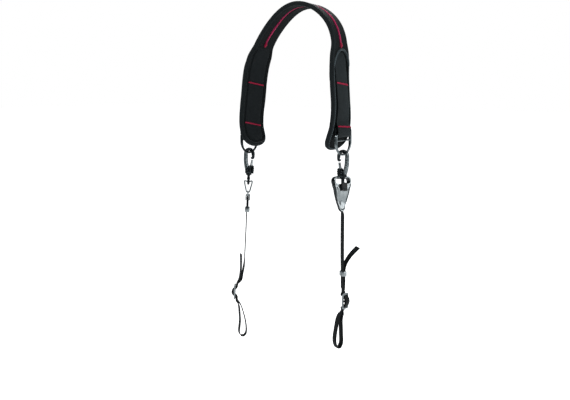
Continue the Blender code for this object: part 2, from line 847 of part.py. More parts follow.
def through_slider(across, middle, front):
    """The middle of the two layers on their way through a slider, top to bottom."""
    back = across - front * SLIDER_SWING
    out = across + front * SLIDER_SWING
    reach = SLIDER_HEIGHT / 2
    slot = (SLIDER_BAR + SLIDER_SLOT) / 2
    upper = (
        (reach + SLIDER_ENTRY, back),
        (slot + SLIDER_BEND, back),
        (slot, across),
        (slot - SLIDER_BEND, out),
    )
    steps = upper + tuple((-rise, u) for rise, u in reversed(upper))
    return [(u, middle + rise) for rise, u in steps]


def shifted(points, distance):
    """The points moved sideways from their own line, to the right of its direction if positive."""
    line = np.array(points, float)
    along = tangents(line)
    return line + np.stack([along[:, 1], -along[:, 0]], axis=1) * distance


def ribbon(name, line, hang):
    """A strap of even thickness along a line in its own plane."""
    half = WEB_THICK / 2
    outline = np.concatenate([shifted(line, half), shifted(line, -half)[::-1]])
    return add(name, plate_mesh(name, outline, WEB_WIDTH), "tab", hang, turn=UPRIGHT)


def fold(top, foot):
    """A doubled end: up at the right, round, and down at the left."""
    half = WEB_PITCH / 2
    return [(half, foot), (half, top - half)] + arc((0, top - half), half, 30, 180, 6)


def strap(name, hang, doubled, start, slider, loop, tail, outer):
    """A doubled end, if any, then down through the slider, round the loop and up to the tail.

    The loop's two halves meet in a flat seat for the lug. outer is 1 where the layer that comes
    back up lies to the right of the way down."""
    both = smooth(through_slider(*slider), 2)
    inner = shifted(both, -outer * WEB_PITCH / 2)
    returning = shifted(both, outer * WEB_PITCH / 2)[::-1]
    down = smooth([*start, *inner, *loop[0]], 2)
    up = smooth([*loop[1], *returning, *tail], 2)
    return ribbon(name, np.concatenate([doubled, down, up] if doubled else [down, up]), hang)


def keeper(name, hang, across, middle, width):
    """A flat tube round both layers."""
    place = (across, 0, middle)
    body = box(name, (width, KEEPER_WIDTH, KEEPER_HEIGHT), "bright", hang, at=place)
    round_edges(body, 0.8)
    slot = WEB_PITCH + WEB_THICK + 2 * KEEPER_PLAY
    size = (slot, WEB_WIDTH + 2 * KEEPER_PLAY, KEEPER_HEIGHT + THROUGH)
    combine(body, box(f"{name}_slot", size, None, hang, at=place), "DIFFERENCE")
    return body


def slider(name, hang, across, middle):
    """A flat frame with three bars."""
    size = (SLIDER_THICK, SLIDER_WIDTH, SLIDER_HEIGHT)
    body = box(name, size, "bright", hang, at=(across, 0, middle))
    round_edges(body, 0.5)
    size = (SLIDER_THICK + THROUGH, SLIDER_SLOT_WIDTH, SLIDER_SLOT)
    for label, way in (("upper", 1), ("lower", -1)):
        place = (across, 0, middle + way * (SLIDER_BAR + SLIDER_SLOT) / 2)
        slot = box(f"{name}_{label}_slot", size, None, hang, at=place)
        combine(body, slot, "DIFFERENCE")
    return body


# Lines of the straps, in millimetres: across, up
LEFT_SLIDER = (-12.7, -191.8, -1)
LEFT_FOLD = (-58.2, -79.0)
LEFT_START = ((-0.8, -68.0), (-0.8, -79.5), (-0.7, -93.0), (-0.8, -115.0), (-1.0, -141.0))
LEFT_START += ((-1.6, -155.0), (-3.4, -167.5), (-5.8, -176.5))
LEFT_DOWN = ((-5.6, -207.6), (-2.4, -213.5), (0.6, -222.0), (3.6, -233.0), (5.2, -244.0))
LEFT_DOWN += ((4.2, -251.2), (1.8, -254.0))
LEFT_UP = ((-1.6, -254.0), (-4.2, -251.0), (-5.2, -244.0), (-4.4, -232.0), (-4.2, -221.0))
LEFT_UP += ((-5.4, -213.0), (-8.0, -207.4))
LEFT_TAIL = ((-8.4, -176.4), (-6.2, -168.6), (-5.6, -156.0), (-6.3, -138.4))
RIGHT_SLIDER = (4.4, -186.6, 1)
LEFT_KEEPER = (0, -76.0, 6.8)
RIGHT_START = ((0.0, -65.2), (0.0, -71.0), (0.0, -100.0), (0.2, -132.0))
RIGHT_START += ((0.5, -147.0), (0.65, -160.0))
RIGHT_DOWN = ((-1.0, -202.4), (-4.2, -209.0), (-8.0, -219.0), (-10.2, -232.0), (-9.4, -242.0))
RIGHT_DOWN += ((-7.0, -246.6),)
RIGHT_UP = ((-3.6, -246.6), (-1.2, -242.0), (-0.2, -232.0), (0.0, -218.0), (0.8, -207.6))
RIGHT_TAIL = ((2.3, -160.0), (2.3, -148.0), (3.6, -140.0), (6.6, -133.5), (11.6, -126.0))
RIGHT_TAIL += ((17.0, -120.6), (22.6, -117.6))
RIGHT_KEEPER = (1.4, -150.2, 5.6)


def left_drop(hang):
    eye_swivel("swivel_left", hang)
    link("link_left", hang)
    clamp("clamp_left", hang)
    loop = (LEFT_DOWN, LEFT_UP)
    strap("strap_left", hang, fold(*LEFT_FOLD), LEFT_START, LEFT_SLIDER, loop, LEFT_TAIL, 1)
    keeper("keeper_left", hang, *LEFT_KEEPER)
    slider("slider_left", hang, *LEFT_SLIDER[:2])


def right_drop(hang):
    lean = tilted(hang, "clip_lean")
    foot_swivel("swivel_right", hang, lean)
    clip("clip_right", lean)
    loop = (RIGHT_DOWN, RIGHT_UP)
    strap("strap_right", hang, [], RIGHT_START, RIGHT_SLIDER, loop, RIGHT_TAIL, -1)
    keeper("keeper_right", hang, *RIGHT_KEEPER)
    slider("slider_right", hang, *RIGHT_SLIDER[:2])


def build():
    arch = Arch()
    shoulder_pad(arch)
    piping(arch, "piping_outer", 1, PIPING_OUTER_END)
    piping(arch, "piping_inner", -1, PIPING_INNER_END)
    for name, side, x, z, lean, facing in SIDES:
        top = z + HOOK_INNER * MM - RING_PLAY - RING_WIRE + RING_HEIGHT
        ring(f"ring_{name}", x, top)
        tab(arch, f"tab_{name}", side, Vector((x, 0, top)))
        chain = empty(f"chain_{name}", (x, 0, z), (0, math.radians(lean), 0))
        inward = empty(f"inward_{name}", (0, 0, 0), (0, 0, math.pi if side > 0 else 0), chain)
        hook(f"hook_{name}", inward)
        gate(f"gate_{name}", inward)
        hang = empty(f"hang_{name}", (0, 0, 0), (0, 0, math.radians(facing)), chain)
        drop = left_drop if side < 0 else right_drop
        drop(hang)


clear_scene()
PARTS = collection("Camera neck strap")
GUIDES = collection("Guides")
build()
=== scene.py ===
"""Looks of a camera neck strap: padded cloth, webbing, piping, stitching and plated metal.

Metres, +Z up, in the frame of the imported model. X runs from one lug to the other, -Y is the front."""

import math

import bmesh
import bpy
import numpy as np
from mathutils import Euler, Matrix, Vector


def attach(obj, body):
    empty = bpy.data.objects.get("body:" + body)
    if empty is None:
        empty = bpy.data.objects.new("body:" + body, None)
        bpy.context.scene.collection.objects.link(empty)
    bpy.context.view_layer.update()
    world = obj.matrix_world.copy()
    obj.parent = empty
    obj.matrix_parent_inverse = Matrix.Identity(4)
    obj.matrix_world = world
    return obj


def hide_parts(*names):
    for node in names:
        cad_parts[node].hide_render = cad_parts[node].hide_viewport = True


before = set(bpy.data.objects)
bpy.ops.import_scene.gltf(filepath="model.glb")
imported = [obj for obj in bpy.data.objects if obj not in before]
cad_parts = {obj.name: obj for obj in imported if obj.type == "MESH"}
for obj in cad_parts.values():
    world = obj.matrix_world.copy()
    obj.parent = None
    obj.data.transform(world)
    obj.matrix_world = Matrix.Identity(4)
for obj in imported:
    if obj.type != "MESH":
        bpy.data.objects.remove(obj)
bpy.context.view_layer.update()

MM = 0.001
SHARP_FROM = 40  # degrees between faces from which their edge stays sharp

# Camera: where it stands, the way it looks in degrees, its lens in millimetres
CAMERA_AT = (0.6646, -0.9908, -0.0968)
CAMERA_TURN = 35.0
CAMERA_DROP = 7.16
CAMERA_LENS = 58.3
LIGHT_AIM = (0, 0, -0.2)
FLOOR_REACH = 12.0
FLOOR_LEVEL = -0.5

# Padded arch: its middle line (x, z), in millimetres
ARCH_MM = (
    (-73.6, -178.0), (-81.6, -161.7), (-80.9, -116.7), (-74.8, -76.7), (-62.7, -46.7),
    (-44.1, -21.7), (-4.4, 2.5), (44.4, -21.7), (53.3, -46.7), (53.2, -76.7),
    (55.7, -116.7), (51.6, -161.7), (43.0, -178.6),
)
# Outward lean of its front edge: share of its length, radians
FLARE = (
    (0.05, 0.04), (0.14, 0.075), (0.35, 0.034), (0.5, 0.06), (0.65, 0.1), (0.86, 0.1), (0.95, 0.0),
)
ARCH_WIDTH = 36.6 * MM
END_WIDTH = 46 * MM
TIP_LENGTH = 20 * MM
TIP_POWER = 2.4
WIDEN = (118 * MM, 138 * MM)  # from the tip: where the wide end stops and the arch's width starts
PAD_HALF = 2.75 * MM  # half its thickness away from the edge
RIM_HALF = 2.3 * MM  # and at the edge
RIM_POWER = 2.6
RIM_REACH = 5.5 * MM  # over which the pad swells from the edge
PAD_COLUMNS = 73
PAD_CROWD = 0.55  # share by which the columns crowd to the edges
LINE_STEP = 1.2 * MM  # between the points of the lines that tapes and cords follow
MOUTH = 126 * MM  # from the tip to the top of the mouth
MOUTH_HEIGHT = 22 * MM
CHANNEL_HALF = 20 * MM
CHANNEL_RIM = 3 * MM  # of the pad left beside it at the tip
CHANNEL_WALL = 1.0 * MM
# Depth of the channel that the webbing lies in: distance from the tip, depth, in millimetres
CHANNEL_MM = ((3, 0.0), (10, 1.7), (48, 1.7), (76, 0.9), (96, 1.2), (114, 3.2), (126, 3.9))
# The mouth's raised lip, and the tape rolled over it
LIP_HEIGHT = 1.1 * MM
LIP_OUT = 1.4 * MM
LIP_HALF = 1.5 * MM
LIP_FROM = 60 * MM  # from the tip to where it starts to rise
LIP_OVER = 50 * MM
LIP_TAPE_LOW = 98 * MM  # from the tip to where the tape ends
LIP_TAPE_FADE = 12 * MM
LIP_TAPE_MIDDLE = 90 * MM  # a place that all of the tape faces away from
# In millimetres: the least distance out at which its height is measured, the distance out and
# height to which it flattens at its ends, and its section as distance out and height over the cloth
LIP_TAPE_REACH = 1.2
LIP_FLAT = (0.8, -0.3)
LIP_SECTION = (
    (-0.35, -1.6), (-0.45, -0.4), (-0.2, 0.45), (0.4, 0.95), (1.2, 0.95), (1.9, 0.5), (2.3, -0.2),
)
# Creases over the mouth: distance out from its edge, depth, in millimetres
CREASES_MM = ((4.6, 0.35), (7.4, 0.22))
CREASE_HALF = 0.8 * MM
CREASE_FROM = 119 * MM
CREASE_OVER = 6 * MM
# Padded panel on the inner face
PANEL_HALF = 16.3 * MM
PANEL_INSET = 5.8 * MM  # from the pad's edge, round the tip
PANEL_TOP = 133 * MM
PANEL_FADE = 4 * MM
PANEL_SWELL = 0.35 * MM
PANEL_ROUND = 3 * MM  # over which it swells
GROOVE_DEPTH = 1.3 * MM
GROOVE_HALF = 0.85 * MM
PIPING_RADIUS = 1.25 * MM
PIPING_RISE = 0.95  # share of its radius from the seam's bottom to its middle
PIPING_ENDS = {1: MOUTH + 6 * MM, -1: MOUTH + 13 * MM}
# Stitched ends of the piping
END_REACH = 3.6 * MM
END_HALF = 3.7 * MM
END_RADIUS = 2.0 * MM
END_LEAST = 0.02
END_STITCH = 0.45 * MM
END_RIPPLE = 0.07
SEAM_HALF = 1.5 * MM
SEAM_DEPTH = 1.2 * MM
SEAM_FADE = 5 * MM
# The piping sinks in towards the crown: how far, from where, over what distance
PIPING_SINK = 1.5 * MM
SINK_FROM = 165 * MM
SINK_OVER = 40 * MM
# How far the seams wander towards the front: share of the arch's length, millimetres
PIPING_DRIFT_MM = (
    (0.28, 0.6), (0.33, 1.9), (0.42, 1.7), (0.5, 0.0), (0.58, 1.6), (0.68, 2.2), (0.74, 1.8),
)
BINDING_REACH = 2.9 * MM
BINDING_THICK = 0.45 * MM
BINDING_ROUND = 1.5 * MM
# The binding's section: share of its reach over the face, height in its own thickness
BINDING_SECTION = ((1.0, -0.6), (0.97, 0.9), (0.8, 1.0), (0.5, 1.0), (0.25, 1.0), (0.05, 1.0))
EDGE_CORD_RADIUS = 0.7 * MM
EDGE_CORD_THIN = 0.2  # share of its radius at its ends
EDGE_CORD_INSET = 2.5 * MM
EDGE_CORD_LIFT = 0.3 * MM
EDGE_CORD_TOP = 108 * MM
EDGE_CORD_FADE = 10 * MM

# Webbing tabs
TAB_THICK = 1.4 * MM
TAB_HALF = 15.4 * MM
TAB_INSET = 1.2 * MM  # from the channel's outline, at the mouth
TAB_LEAST = 2 * MM  # half its width at the least, in there
TAB_EDGE = 0.5  # corner radius of its section, in millimetres
TAB_TOP = MOUTH - 2 * MM
TAB_LEAVES_PAD = 38 * MM
TAB_RETURN = 9 * MM
TAB_DROP = 6 * MM
TAB_LIFT = 0.45 * MM
TAB_DRIFT = 2.2 * MM  # towards the rear, between its two bar tacks
TAB_DRIFT_AT = 52 * MM
TAB_DRIFT_OVER = 20 * MM
TAB_FLAT_ROWS = 90  # rows of the webbing down to where it turns round the ring
RING_WIRE = 1.4 * MM
RING_HEIGHT = 25 * MM
HOOK_INNER = 3.8  # radius inside the hook's bend, in millimetres
HOOK_PLAY = 0.5 * MM
GAP = 0.3 * MM

# Red bar tacks: side, distance from the tip at the front edge and at the rear edge, in millimetres
TACKS_MM = (
    ("left", 86.4, 82.2),
    ("left", 33.0, 27.6),
    ("right", 86.0, 83.4),
    ("right", 31.2, 29.0),
)
TACK_HALF = 15.4 * MM
TACK_HEIGHT = 2.0 * MM
TACK_INSET = 0.6 * MM  # from the webbing's edge
TACK_STITCHES = 75
TACK_PULL = 0.7 * MM  # how far a bar tack pulls the cloth in, and how far that reaches
TACK_PULL_ALONG = 3.2 * MM
TACK_PULL_ACROSS = 19 * MM
THREAD_STEP = 0.6 * MM
THREAD_RADIUS = 0.5 * MM
THREAD_LIFT = 0.25 * MM

# Narrow straps, in millimetres
WEB_WIDTH = 8.2
WEB_THICK = 1.3
WEB_EDGE = 0.45
WEB_PITCH = 1.6
FOLD_PITCH = 1.36
STRAP_STEP = 0.8
# Turns of the webbing, in degrees: above the slider and below it
STRAP_TURN = {"left": (14.0, 17.0), "right": (0.0, 8.0)}
# Heights at which those turns start, and over what height they grow
TURN_ABOVE, TURN_BELOW, TURN_OVER = -181, -203, 9
STRAIGHT_ABOVE, STRAIGHT_OVER = -138, 20  # over which the layer without a tail straightens again
LOOP_SHARE = 0.6  # of the lower turn, in the loop's first side
# Turn of the slider and the webbing in it: degrees, height from its middle, fade beyond it
SLIDER_TURN = {"left": 0.0, "right": -62.0}
SLIDER_HOLD = 9.8
SLIDER_FADE = 7.5
# Roll of the free ends, in degrees, and the length over which it grows
TAIL_ROLL = {"left": 4.0, "right": 16.0}
TAIL_ROLL_OVER = 40
# Where the webbing is gathered into the clip's tip: share of its width lost, move to the rear, length
GATHER = {"left": (0.0, 0.0, 1.0), "right": (0.5, 1.9, 6.5)}
SLIDER_HEIGHT = 20.4
SLIDER_BAR = 2.0
SLIDER_BEND = 3.8
SLIDER_ENTRY = 0.6
SLIDER_WIDTH = 12.9
SLIDER_SIDE = 1.85
SLIDER_THICK = 2.0
SLIDER_CORNER = 1.0
SLIDER_EDGE = 0.35

# Metal, in millimetres. Turned profiles are (radius, height), lines and outlines (across, up)
ROUND = 0.42  # corner radius of a cast bar, as a share of its thickness
RING_HALF = 16.9
RING_ARM = 10.0
RING_CORNER = 2.2
RING_BOW = 15.0
RING_ROUND = 21.0  # under its top, where it is round
RING_CHANGE = 12.0  # height over which it becomes flat
RING_THICK = (2.7, -0.4)  # in its plane: where it is round, and what its flat arms add
RING_DEPTH = (2.7, 1.5)
CROSS_BAR_DROP = 7.0
BAR_RADIUS = 1.05
BAR_FOOT = (13.5, 3.0, 0.35)  # where the cross bar's ends start to swell, over what, by how much

HOOK_TIP = ((3.3, -4.2), (4.2, -5.4), (5.5, -5.9), (6.4, -4.6), (6.4, -2.6))
HOOK_BEND = 6.05
HOOK_SHANK = ((-6.0, -3.0), (-5.9, -8.0), (-5.2, -13.0), (-4.1, -17.5), (-2.8, -21.8))
# The hook's bar: distance from its tip, and its width or depth there, then both at its end
HOOK_WIDTHS = ((0, 0.9), (1.2, 1.7), (4, 2.6), (9, 4.0), (16, 4.4), (30, 5.3))
HOOK_DEPTHS = ((0, 2.6), (1.5, 3.4), (8, 4.4), (20, 4.8))
HOOK_END = (5.8, 5.4)
NOTCHES = (-3.9, -7.0, -10.1, -13.2)  # heights of the notches in the shank
NOTCH_HALF, NOTCH_DEPTH = 0.55, 0.9
SHANK_REFLECTION_LIMITS = (-2.0, 3.6)  # the shank is painted greyer as a reflection left of the first and below the second
PIVOT = (3.6, -17.6)
HUB_RADIUS = 2.5
CHEEK_REAR = ((-3.4, -22.2), (-3.2, -19.6), (0.2, -18.6))
CHEEK_FRONT = ((5.0, -21.0), (4.0, -22.4))
CHEEK_THICK, CHEEK_EDGE, CHEEK_AT = 1.5, 0.4, 2.35
PIN = ((0.2, -3.45), (0.9, -3.4), (1.25, -3.1), (1.25, 3.1), (0.9, 3.4), (0.2, 3.45))
COLLAR = (
    (0.1, -20.4), (2.8, -20.5), (4.2, -21.0), (4.9, -21.6), (5.15, -22.2), (5.15, -23.2),
    (4.75, -23.5), (4.75, -23.8), (5.15, -24.1), (5.15, -25.6), (4.8, -26.3), (4.1, -26.7),
    (2.35, -26.7), (2.25, -26.4), (2.25, -24.6), (0.1, -24.6),
)
GATE_LINE = ((3.7, -16.6), (4.1, -14.0), (4.7, -11.0), (5.1, -8.2))
GATE_WIDTH, GATE_DEPTH, GATE_TAPER, GATE_CORNER = 3.0, 2.9, 0.7, 0.7
THUMB = (
    (5.5, -20.4), (5.7, -22.0), (5.6, -25.2), (6.2, -26.4), (7.6, -26.2), (7.7, -24.9),
    (7.1, -24.2), (7.9, -23.4), (8.1, -22.0), (7.4, -21.3), (8.2, -20.5), (8.3, -19.2),
    (7.5, -18.5), (8.0, -17.6), (7.6, -16.3), (6.4, -15.4), (5.0, -15.3),
)
LEVER_RADIUS, LEVER_THICK, LEVER_EDGE = 2.1, 2.3, 0.35

EYE_STEM = (
    (0.1, -24.9), (1.9, -24.9), (1.85, -27.2), (3.9, -27.3), (4.2, -27.6), (4.1, -28.3),
    (2.6, -29.0), (1.9, -29.9), (1.75, -31.6), (2.2, -33.2), (2.1, -35.0), (0.1, -35.4),
)
EYE_DROP, EYE_RADIUS, EYE_WIRE = 37.2, 3.6, 1.6
LINK_HALF = (
    (0, -37.95), (2.4, -37.7), (3.9, -37.0), (4.8, -37.1), (5.1, -38.3), (3.9, -44.5),
    (2.5, -50.2), (1.5, -52.1), (0, -52.75),
)
LINK_WIRE = 0.9
CLAMP_EDGE = 0.2

CLIP_DEPTH = 10.0
CLIP_TIP = -70.6
CLIP_TALL = 43.7
CLIP_TILT, CLIP_ROLL = 10.7, 2.5  # in degrees
CLIP_LOOP = (
    (0, 42.9), (3.2, 43.0), (6.4, 44.2), (9.4, 43.2), (10.9, 40.6), (11.0, 37.6), (9.4, 34.9),
    (5.6, 34.1), (0, 34.0),
)
CLIP_WIRE, CLIP_CORNER = 1.9, 0.75
CLIP_SIDES = 20
CLIP_REFLECTION_BANDS = (3, 4, 5, 13, 14, 15)  # columns of the loop on its broad faces, painted black as a dark reflection
CLIP_PLATE = (
    (11.2, 36.6), (11.6, 34.6), (10.6, 31.0), (9.6, 27.4), (8.9, 23.0), (7.8, 17.6),
    (6.4, 12.0), (4.6, 6.4), (3.0, 2.4), (1.4, 0.4),
)
CLIP_TOP = ((-6.0, 35.3), (0, 35.0), (6.0, 35.3))
CLIP_MIDDLE = 22.0  # height that the rows of its face close round
# Rows of its face, rim and back: share of the outline, height over the front
CLIP_FACE = (
    (0.02, 0.35), (0.3, 0.25), (0.55, -0.05), (0.72, -0.5), (0.84, -0.9), (0.89, -0.8),
    (0.905, -0.15), (0.93, 0.1), (0.975, 0.08), (0.995, -0.15), (1.0, -0.5), (1.0, -4.6),
    (1.0, -8.7), (0.985, -9.1), (0.95, -9.3), (0.5, -9.3), (0.02, -9.3),
)
CLIP_SHADED_ROWS = (4, 5, 9, 10, 11, 12)  # rows that make its groove and outer wall, painted black: shade in the groove, a dark reflection on the wall
CLIP_THIN = 4.4  # how much thinner it is towards its tip, from its front
CLIP_THIN_FROM, CLIP_THIN_OVER = 31, 20
CLIP_LEAST = 0.7
FOOT_STEM = (
    (0.1, -24.9), (1.9, -24.9), (1.85, -27.2), (3.3, -27.3), (3.6, -27.6), (3.5, -28.3),
    (2.4, -28.9), (2.1, -29.4), (2.1, -35.2), (0.1, -35.3),
)
STUD_DROP = 14.4
RIVET = ((0.1, 0.0), (3.2, 0.0), (3.2, 0.5), (2.6, 0.9), (0.1, 1.0))
SCREW = (
    (0.1, 0.5), (1.7, 0.5), (1.7, -0.2), (1.3, -0.45), (0.35, -0.45), (0.3, -0.1), (0.1, -0.1),
)
FOOT = (8.0, 3.7, 10.8)
FOOT_DROP, FOOT_CROWN, FOOT_GAP, FOOT_EDGE = 12.4, 2.2, 0.3, 0.8

KEEPER = (6.2, 10.6, 6.2)  # across both layers, across the webbing, along it
KEEPER_THICK, KEEPER_CORNER, KEEPER_EDGE = 0.9, 1.1, 0.35
KEEPER_AT = {"left": (0.0, 0.0, -76.0), "right": (1.4, 0.0, -150.2)}

# Each side: outward direction, x and z of its hook's bend, lean of the chain and turn of the drop
SIDES = {
    "left": (-1, -87.6 * MM, -190.0 * MM, 3.2, 35.0),
    "right": (1, 59.8 * MM, -186.8 * MM, 0.0, 60.0),
}


# --- materials


def linear(code):
    """A colour given as sRGB hex, made linear."""
    shares = [int(code[i : i + 2], 16) / 255 for i in (1, 3, 5)]
    return [s / 12.92 if s <= 0.04045 else ((s + 0.055) / 1.055) ** 2.4 for s in shares] + [1.0]


def node(mat, kind, inputs=None, **settings):
    """A node with its settings. Each input is a value, or an output of another node to link."""
    made = mat.node_tree.nodes.new("ShaderNode" + kind)
    for key, value in settings.items():
        setattr(made, key, value)
    for key, value in (inputs or {}).items():
        if isinstance(value, bpy.types.Node):
            value = value.outputs[0]
        if isinstance(value, bpy.types.NodeSocket):
            mat.node_tree.links.new(value, made.inputs[key])
        else:
            made.inputs[key].default_value = value
    return made


def wire(mat, shader, sockets):
    """Outputs linked to the shader's sockets."""
    for key, output in sockets.items():
        mat.node_tree.links.new(output, shader.inputs[key])


def material(name, roughness, metallic=0.0, **sockets):
    """An empty material and its shader, with the values that are the same all over."""
    mat = bpy.data.materials.new(name)
    mat.use_nodes = True
    shader = mat.node_tree.nodes["Principled BSDF"]
    for key, value in {"Roughness": roughness, "Metallic": metallic, **sockets}.items():
        shader.inputs[key.replace("_", " ")].default_value = value
    return mat, shader


def woven(name, dark, light, pitch, ribs, depth, roughness=0.8, sheen=0.3, blotch=0.25):
    """Cloth of crossed threads. pitch is between threads along the cloth, ribs across it, in
    millimetres, and depth is how far the threads stand up. UV holds metres."""
    mat, shader = material(
        name, roughness, Sheen_Weight=sheen, Sheen_Roughness=0.5, Specular_IOR_Level=0.2,
        Sheen_Tint=linear("#9aa6aa"),
    )
    place = node(mat, "TexCoord")
    split = node(mat, "SeparateXYZ", {0: place.outputs["UV"]})
    waves = []
    for axis, spacing in (("X", pitch), ("Y", ribs)):
        turn = math.pi / (spacing * MM)
        phase = node(mat, "Math", {0: split.outputs[axis], 1: turn}, operation="MULTIPLY")
        waves.append(node(mat, "Math", {0: phase}, operation="SINE"))
    crossed = node(mat, "Math", {0: waves[0], 1: waves[1]}, operation="MULTIPLY")
    threads = node(mat, "Math", {0: crossed, 1: 0.5, 2: 0.5}, operation="MULTIPLY_ADD")
    solid = {"Vector": place.outputs["Object"]}
    fuzz = node(mat, "TexNoise", {**solid, "Scale": 900.0, "Detail": 3.0, "Roughness": 0.7})
    wear = node(mat, "TexNoise", {**solid, "Scale": 45.0, "Detail": 4.0, "Roughness": 0.6})
    height = node(mat, "Math", {0: fuzz, 1: 0.45, 2: threads}, operation="MULTIPLY_ADD")
    share = node(mat, "MapRange", {"Value": height, "From Min": 0.1, "From Max": 1.35})
    worn = node(mat, "MapRange", {"Value": wear, "From Min": 0.35, "From Max": 0.7, "To Max": blotch})
    both = node(mat, "Math", {0: share, 1: worn}, operation="ADD")
    colour = node(mat, "Mix", {0: both, 6: linear(dark), 7: linear(light)}, data_type="RGBA")
    bump = node(mat, "Bump", {"Height": height, "Strength": 0.6, "Distance": depth * MM})
    wire(mat, shader, {"Base Color": colour.outputs[2], "Normal": bump.outputs["Normal"]})
    return mat


def plated(name, colour, shade, roughness, spread, grain, depth):
    """Plated metal: its colour darkens to shade in patches, its roughness varies by spread, and a
    fine grain of that many per metre stands up by depth."""
    mat, shader = material(name, roughness, 1.0)
    solid = {"Vector": node(mat, "TexCoord").outputs["Object"]}
    cloud = node(mat, "TexNoise", {**solid, "Scale": 160.0, "Detail": 3.0})
    fine = node(mat, "TexNoise", {**solid, "Scale": grain, "Detail": 2.0})
    patch = node(mat, "MapRange", {"Value": cloud, "From Min": 0.35, "From Max": 0.7})
    tone = node(mat, "Mix", {0: patch, 6: linear(colour), 7: linear(shade)}, data_type="RGBA")
    least, most = roughness - spread, roughness + spread
    limits = {"From Min": 0.3, "From Max": 0.7, "To Min": least, "To Max": most}
    rough = node(mat, "MapRange", {"Value": fine, **limits})
    bump = node(mat, "Bump", {"Height": fine, "Strength": 0.3, "Distance": depth * MM})
    wire(mat, shader, {"Base Color": tone.outputs[2], "Normal": bump.outputs["Normal"]})
    wire(mat, shader, {"Roughness": rough.outputs["Result"]})
    return mat


def moulded(name, colour, roughness, grain, depth):
    """Moulded plastic of one colour, with a fine grain of that many per metre standing up by depth."""
    mat, shader = material(name, roughness, Base_Color=linear(colour))
    solid = {"Vector": node(mat, "TexCoord").outputs["Object"]}
    fine = node(mat, "TexNoise", {**solid, "Scale": grain, "Detail": 2.0})
    bump = node(mat, "Bump", {"Height": fine, "Strength": 0.4, "Distance": depth * MM})
    wire(mat, shader, {"Normal": bump.outputs["Normal"]})
    return mat


# Polyester pad cloth, plain woven over foam: near black with a faint blue-green cast, matt. Its
# threads are 0.5 mm apart, too fine to show, and are drawn 1.2 mm apart.
PAD_CLOTH = woven("Woven polyester pad cloth", "#080b0c", "#181d1f", 1.2, 1.2, 0.16, sheen=0.12)
# The panel's cloth is a looser, knitted polyester: the same black, a little lighter.
PANEL_CLOTH = woven(
    "Knitted polyester panel", "#0c1012", "#1f2528", 1.5, 1.1, 0.2, sheen=0.16, blotch=0.3
)
# Grosgrain tape, ribbed polyester folded over the edge: its ribs catch a line of light.
BINDING = woven("Grosgrain polyester binding", "#0a0e10", "#1f2629", 1.1, 1.9, 0.1, 0.62, 0.2)
# Filament polyester cord along the edges and lips, braided, coloured light grey as a painted highlight:
# the lines of light along the limbs' edges and the mouths' lips.
HIGHLIGHT_CORD = woven("Polyester cord painted as a highlight", "#20282b", "#566267", 1.2, 1.2, 0.06, 0.42, 0.4)
# Nylon webbing, 30 mm, woven in fine ribs across: dark grey with a slight sheen.
WIDE_WEBBING = woven("Woven nylon webbing, wide", "#0f1314", "#282f32", 1.1, 1.7, 0.24, 0.62, 0.25)
# Nylon webbing, 8 mm, tightly woven: black, smoother than the wide one.
NARROW_WEBBING = woven("Woven nylon webbing, narrow", "#090b0c", "#1d2122", 1.0, 1.3, 0.16, 0.6, 0.2)
# Rayon-covered piping cord, twisted: crimson with a satin highlight along it.
RED_CORD = woven("Twisted satin piping cord", "#b5134c", "#f2417f", 1.4, 1.4, 0.1, 0.38, 0.3)
# Polyester embroidery thread, laid in a close zigzag: crimson, a little duller than the cord.
RED_THREAD = woven("Polyester bar-tack thread", "#9a1138", "#de2b5b", 0.8, 0.8, 0.06, 0.45, 0.2)
# Zinc alloy, die cast and plated in black nickel: a dark mirror, faintly uneven. On the pear clip it is
# painted shade and painted dark reflection.
BLACK_NICKEL_AND_SHADE = plated("Black nickel on cast zinc", "#434a4d", "#25292b", 0.24, 0.05, 1400.0, 0.012)
# The same black nickel painted greyer, with a clearer shine: on the right ring and the hooks' shanks
# this grey is a painted reflection, and the wire link is drawn in it too.
GREY_NICKEL_AND_REFLECTION = plated("Black nickel painted greyer, on cast zinc", "#aab3b6", "#697376", 0.24, 0.05, 1400.0, 0.008)
# Steel strip, stamped and tumbled in nickel: grey and soft.
SATIN_NICKEL = plated("Tumbled nickel on steel", "#cdd3d5", "#8c9497", 0.3, 0.05, 1100.0, 0.008)
# Steel, stamped and nickel plated: bright with a soft satin.
BRIGHT_NICKEL = plated("Nickel on stamped steel", "#ccd3d5", "#a9b1b4", 0.17, 0.03, 900.0, 0.002)
# Steel, tumbled and chrome plated: nearly a mirror.
CHROME = plated("Chrome on steel", "#e6eaec", "#d0d6d9", 0.14, 0.04, 900.0, 0.01)
# Glass-filled nylon, moulded: black with a fine satin grain.
BLOCK = moulded("Moulded glass-filled nylon", "#0d0e0f", 0.42, 1300.0, 0.01)


# --- curves and surfaces


def smooth(points, steps):
    """A natural cubic curve through the points, with steps to each stretch."""
    p = np.array(points, float)
    knots = lengths(p)
    h = np.diff(knots)
    system = np.eye(len(p))
    load = np.zeros_like(p)
    for i in range(1, len(p) - 1):
        system[i, i - 1 : i + 2] = h[i - 1], 2 * (h[i - 1] + h[i]), h[i]
        load[i] = 6 * ((p[i + 1] - p[i]) / h[i] - (p[i] - p[i - 1]) / h[i - 1])
    bend = np.linalg.solve(system, load)
    made = []
    for i, length in enumerate(h):
        for t in np.linspace(0, 1, steps, endpoint=False):
            a, b = 1 - t, t
            cubic = ((a**3 - a) * bend[i] + (b**3 - b) * bend[i + 1]) * length**2 / 6
            made.append(a * p[i] + b * p[i + 1] + cubic)
    made.append(p[-1])
    return np.array(made)


def lengths(points):
    return np.concatenate([[0], np.cumsum(np.linalg.norm(np.diff(points, axis=0), axis=1))])


def unit(vectors):
    return vectors / np.maximum(np.linalg.norm(vectors, axis=-1, keepdims=True), 1e-12)


def tangents(points, loop=False):
    """The way along a line at each of its points."""
    if loop:
        return unit(np.roll(points, -1, axis=0) - np.roll(points, 1, axis=0))
    return unit(np.gradient(points, axis=0))


def rightwards(along):
    """The way to the right of a flat line's direction."""
    return np.stack([along[:, 1], -along[:, 0]], axis=1)


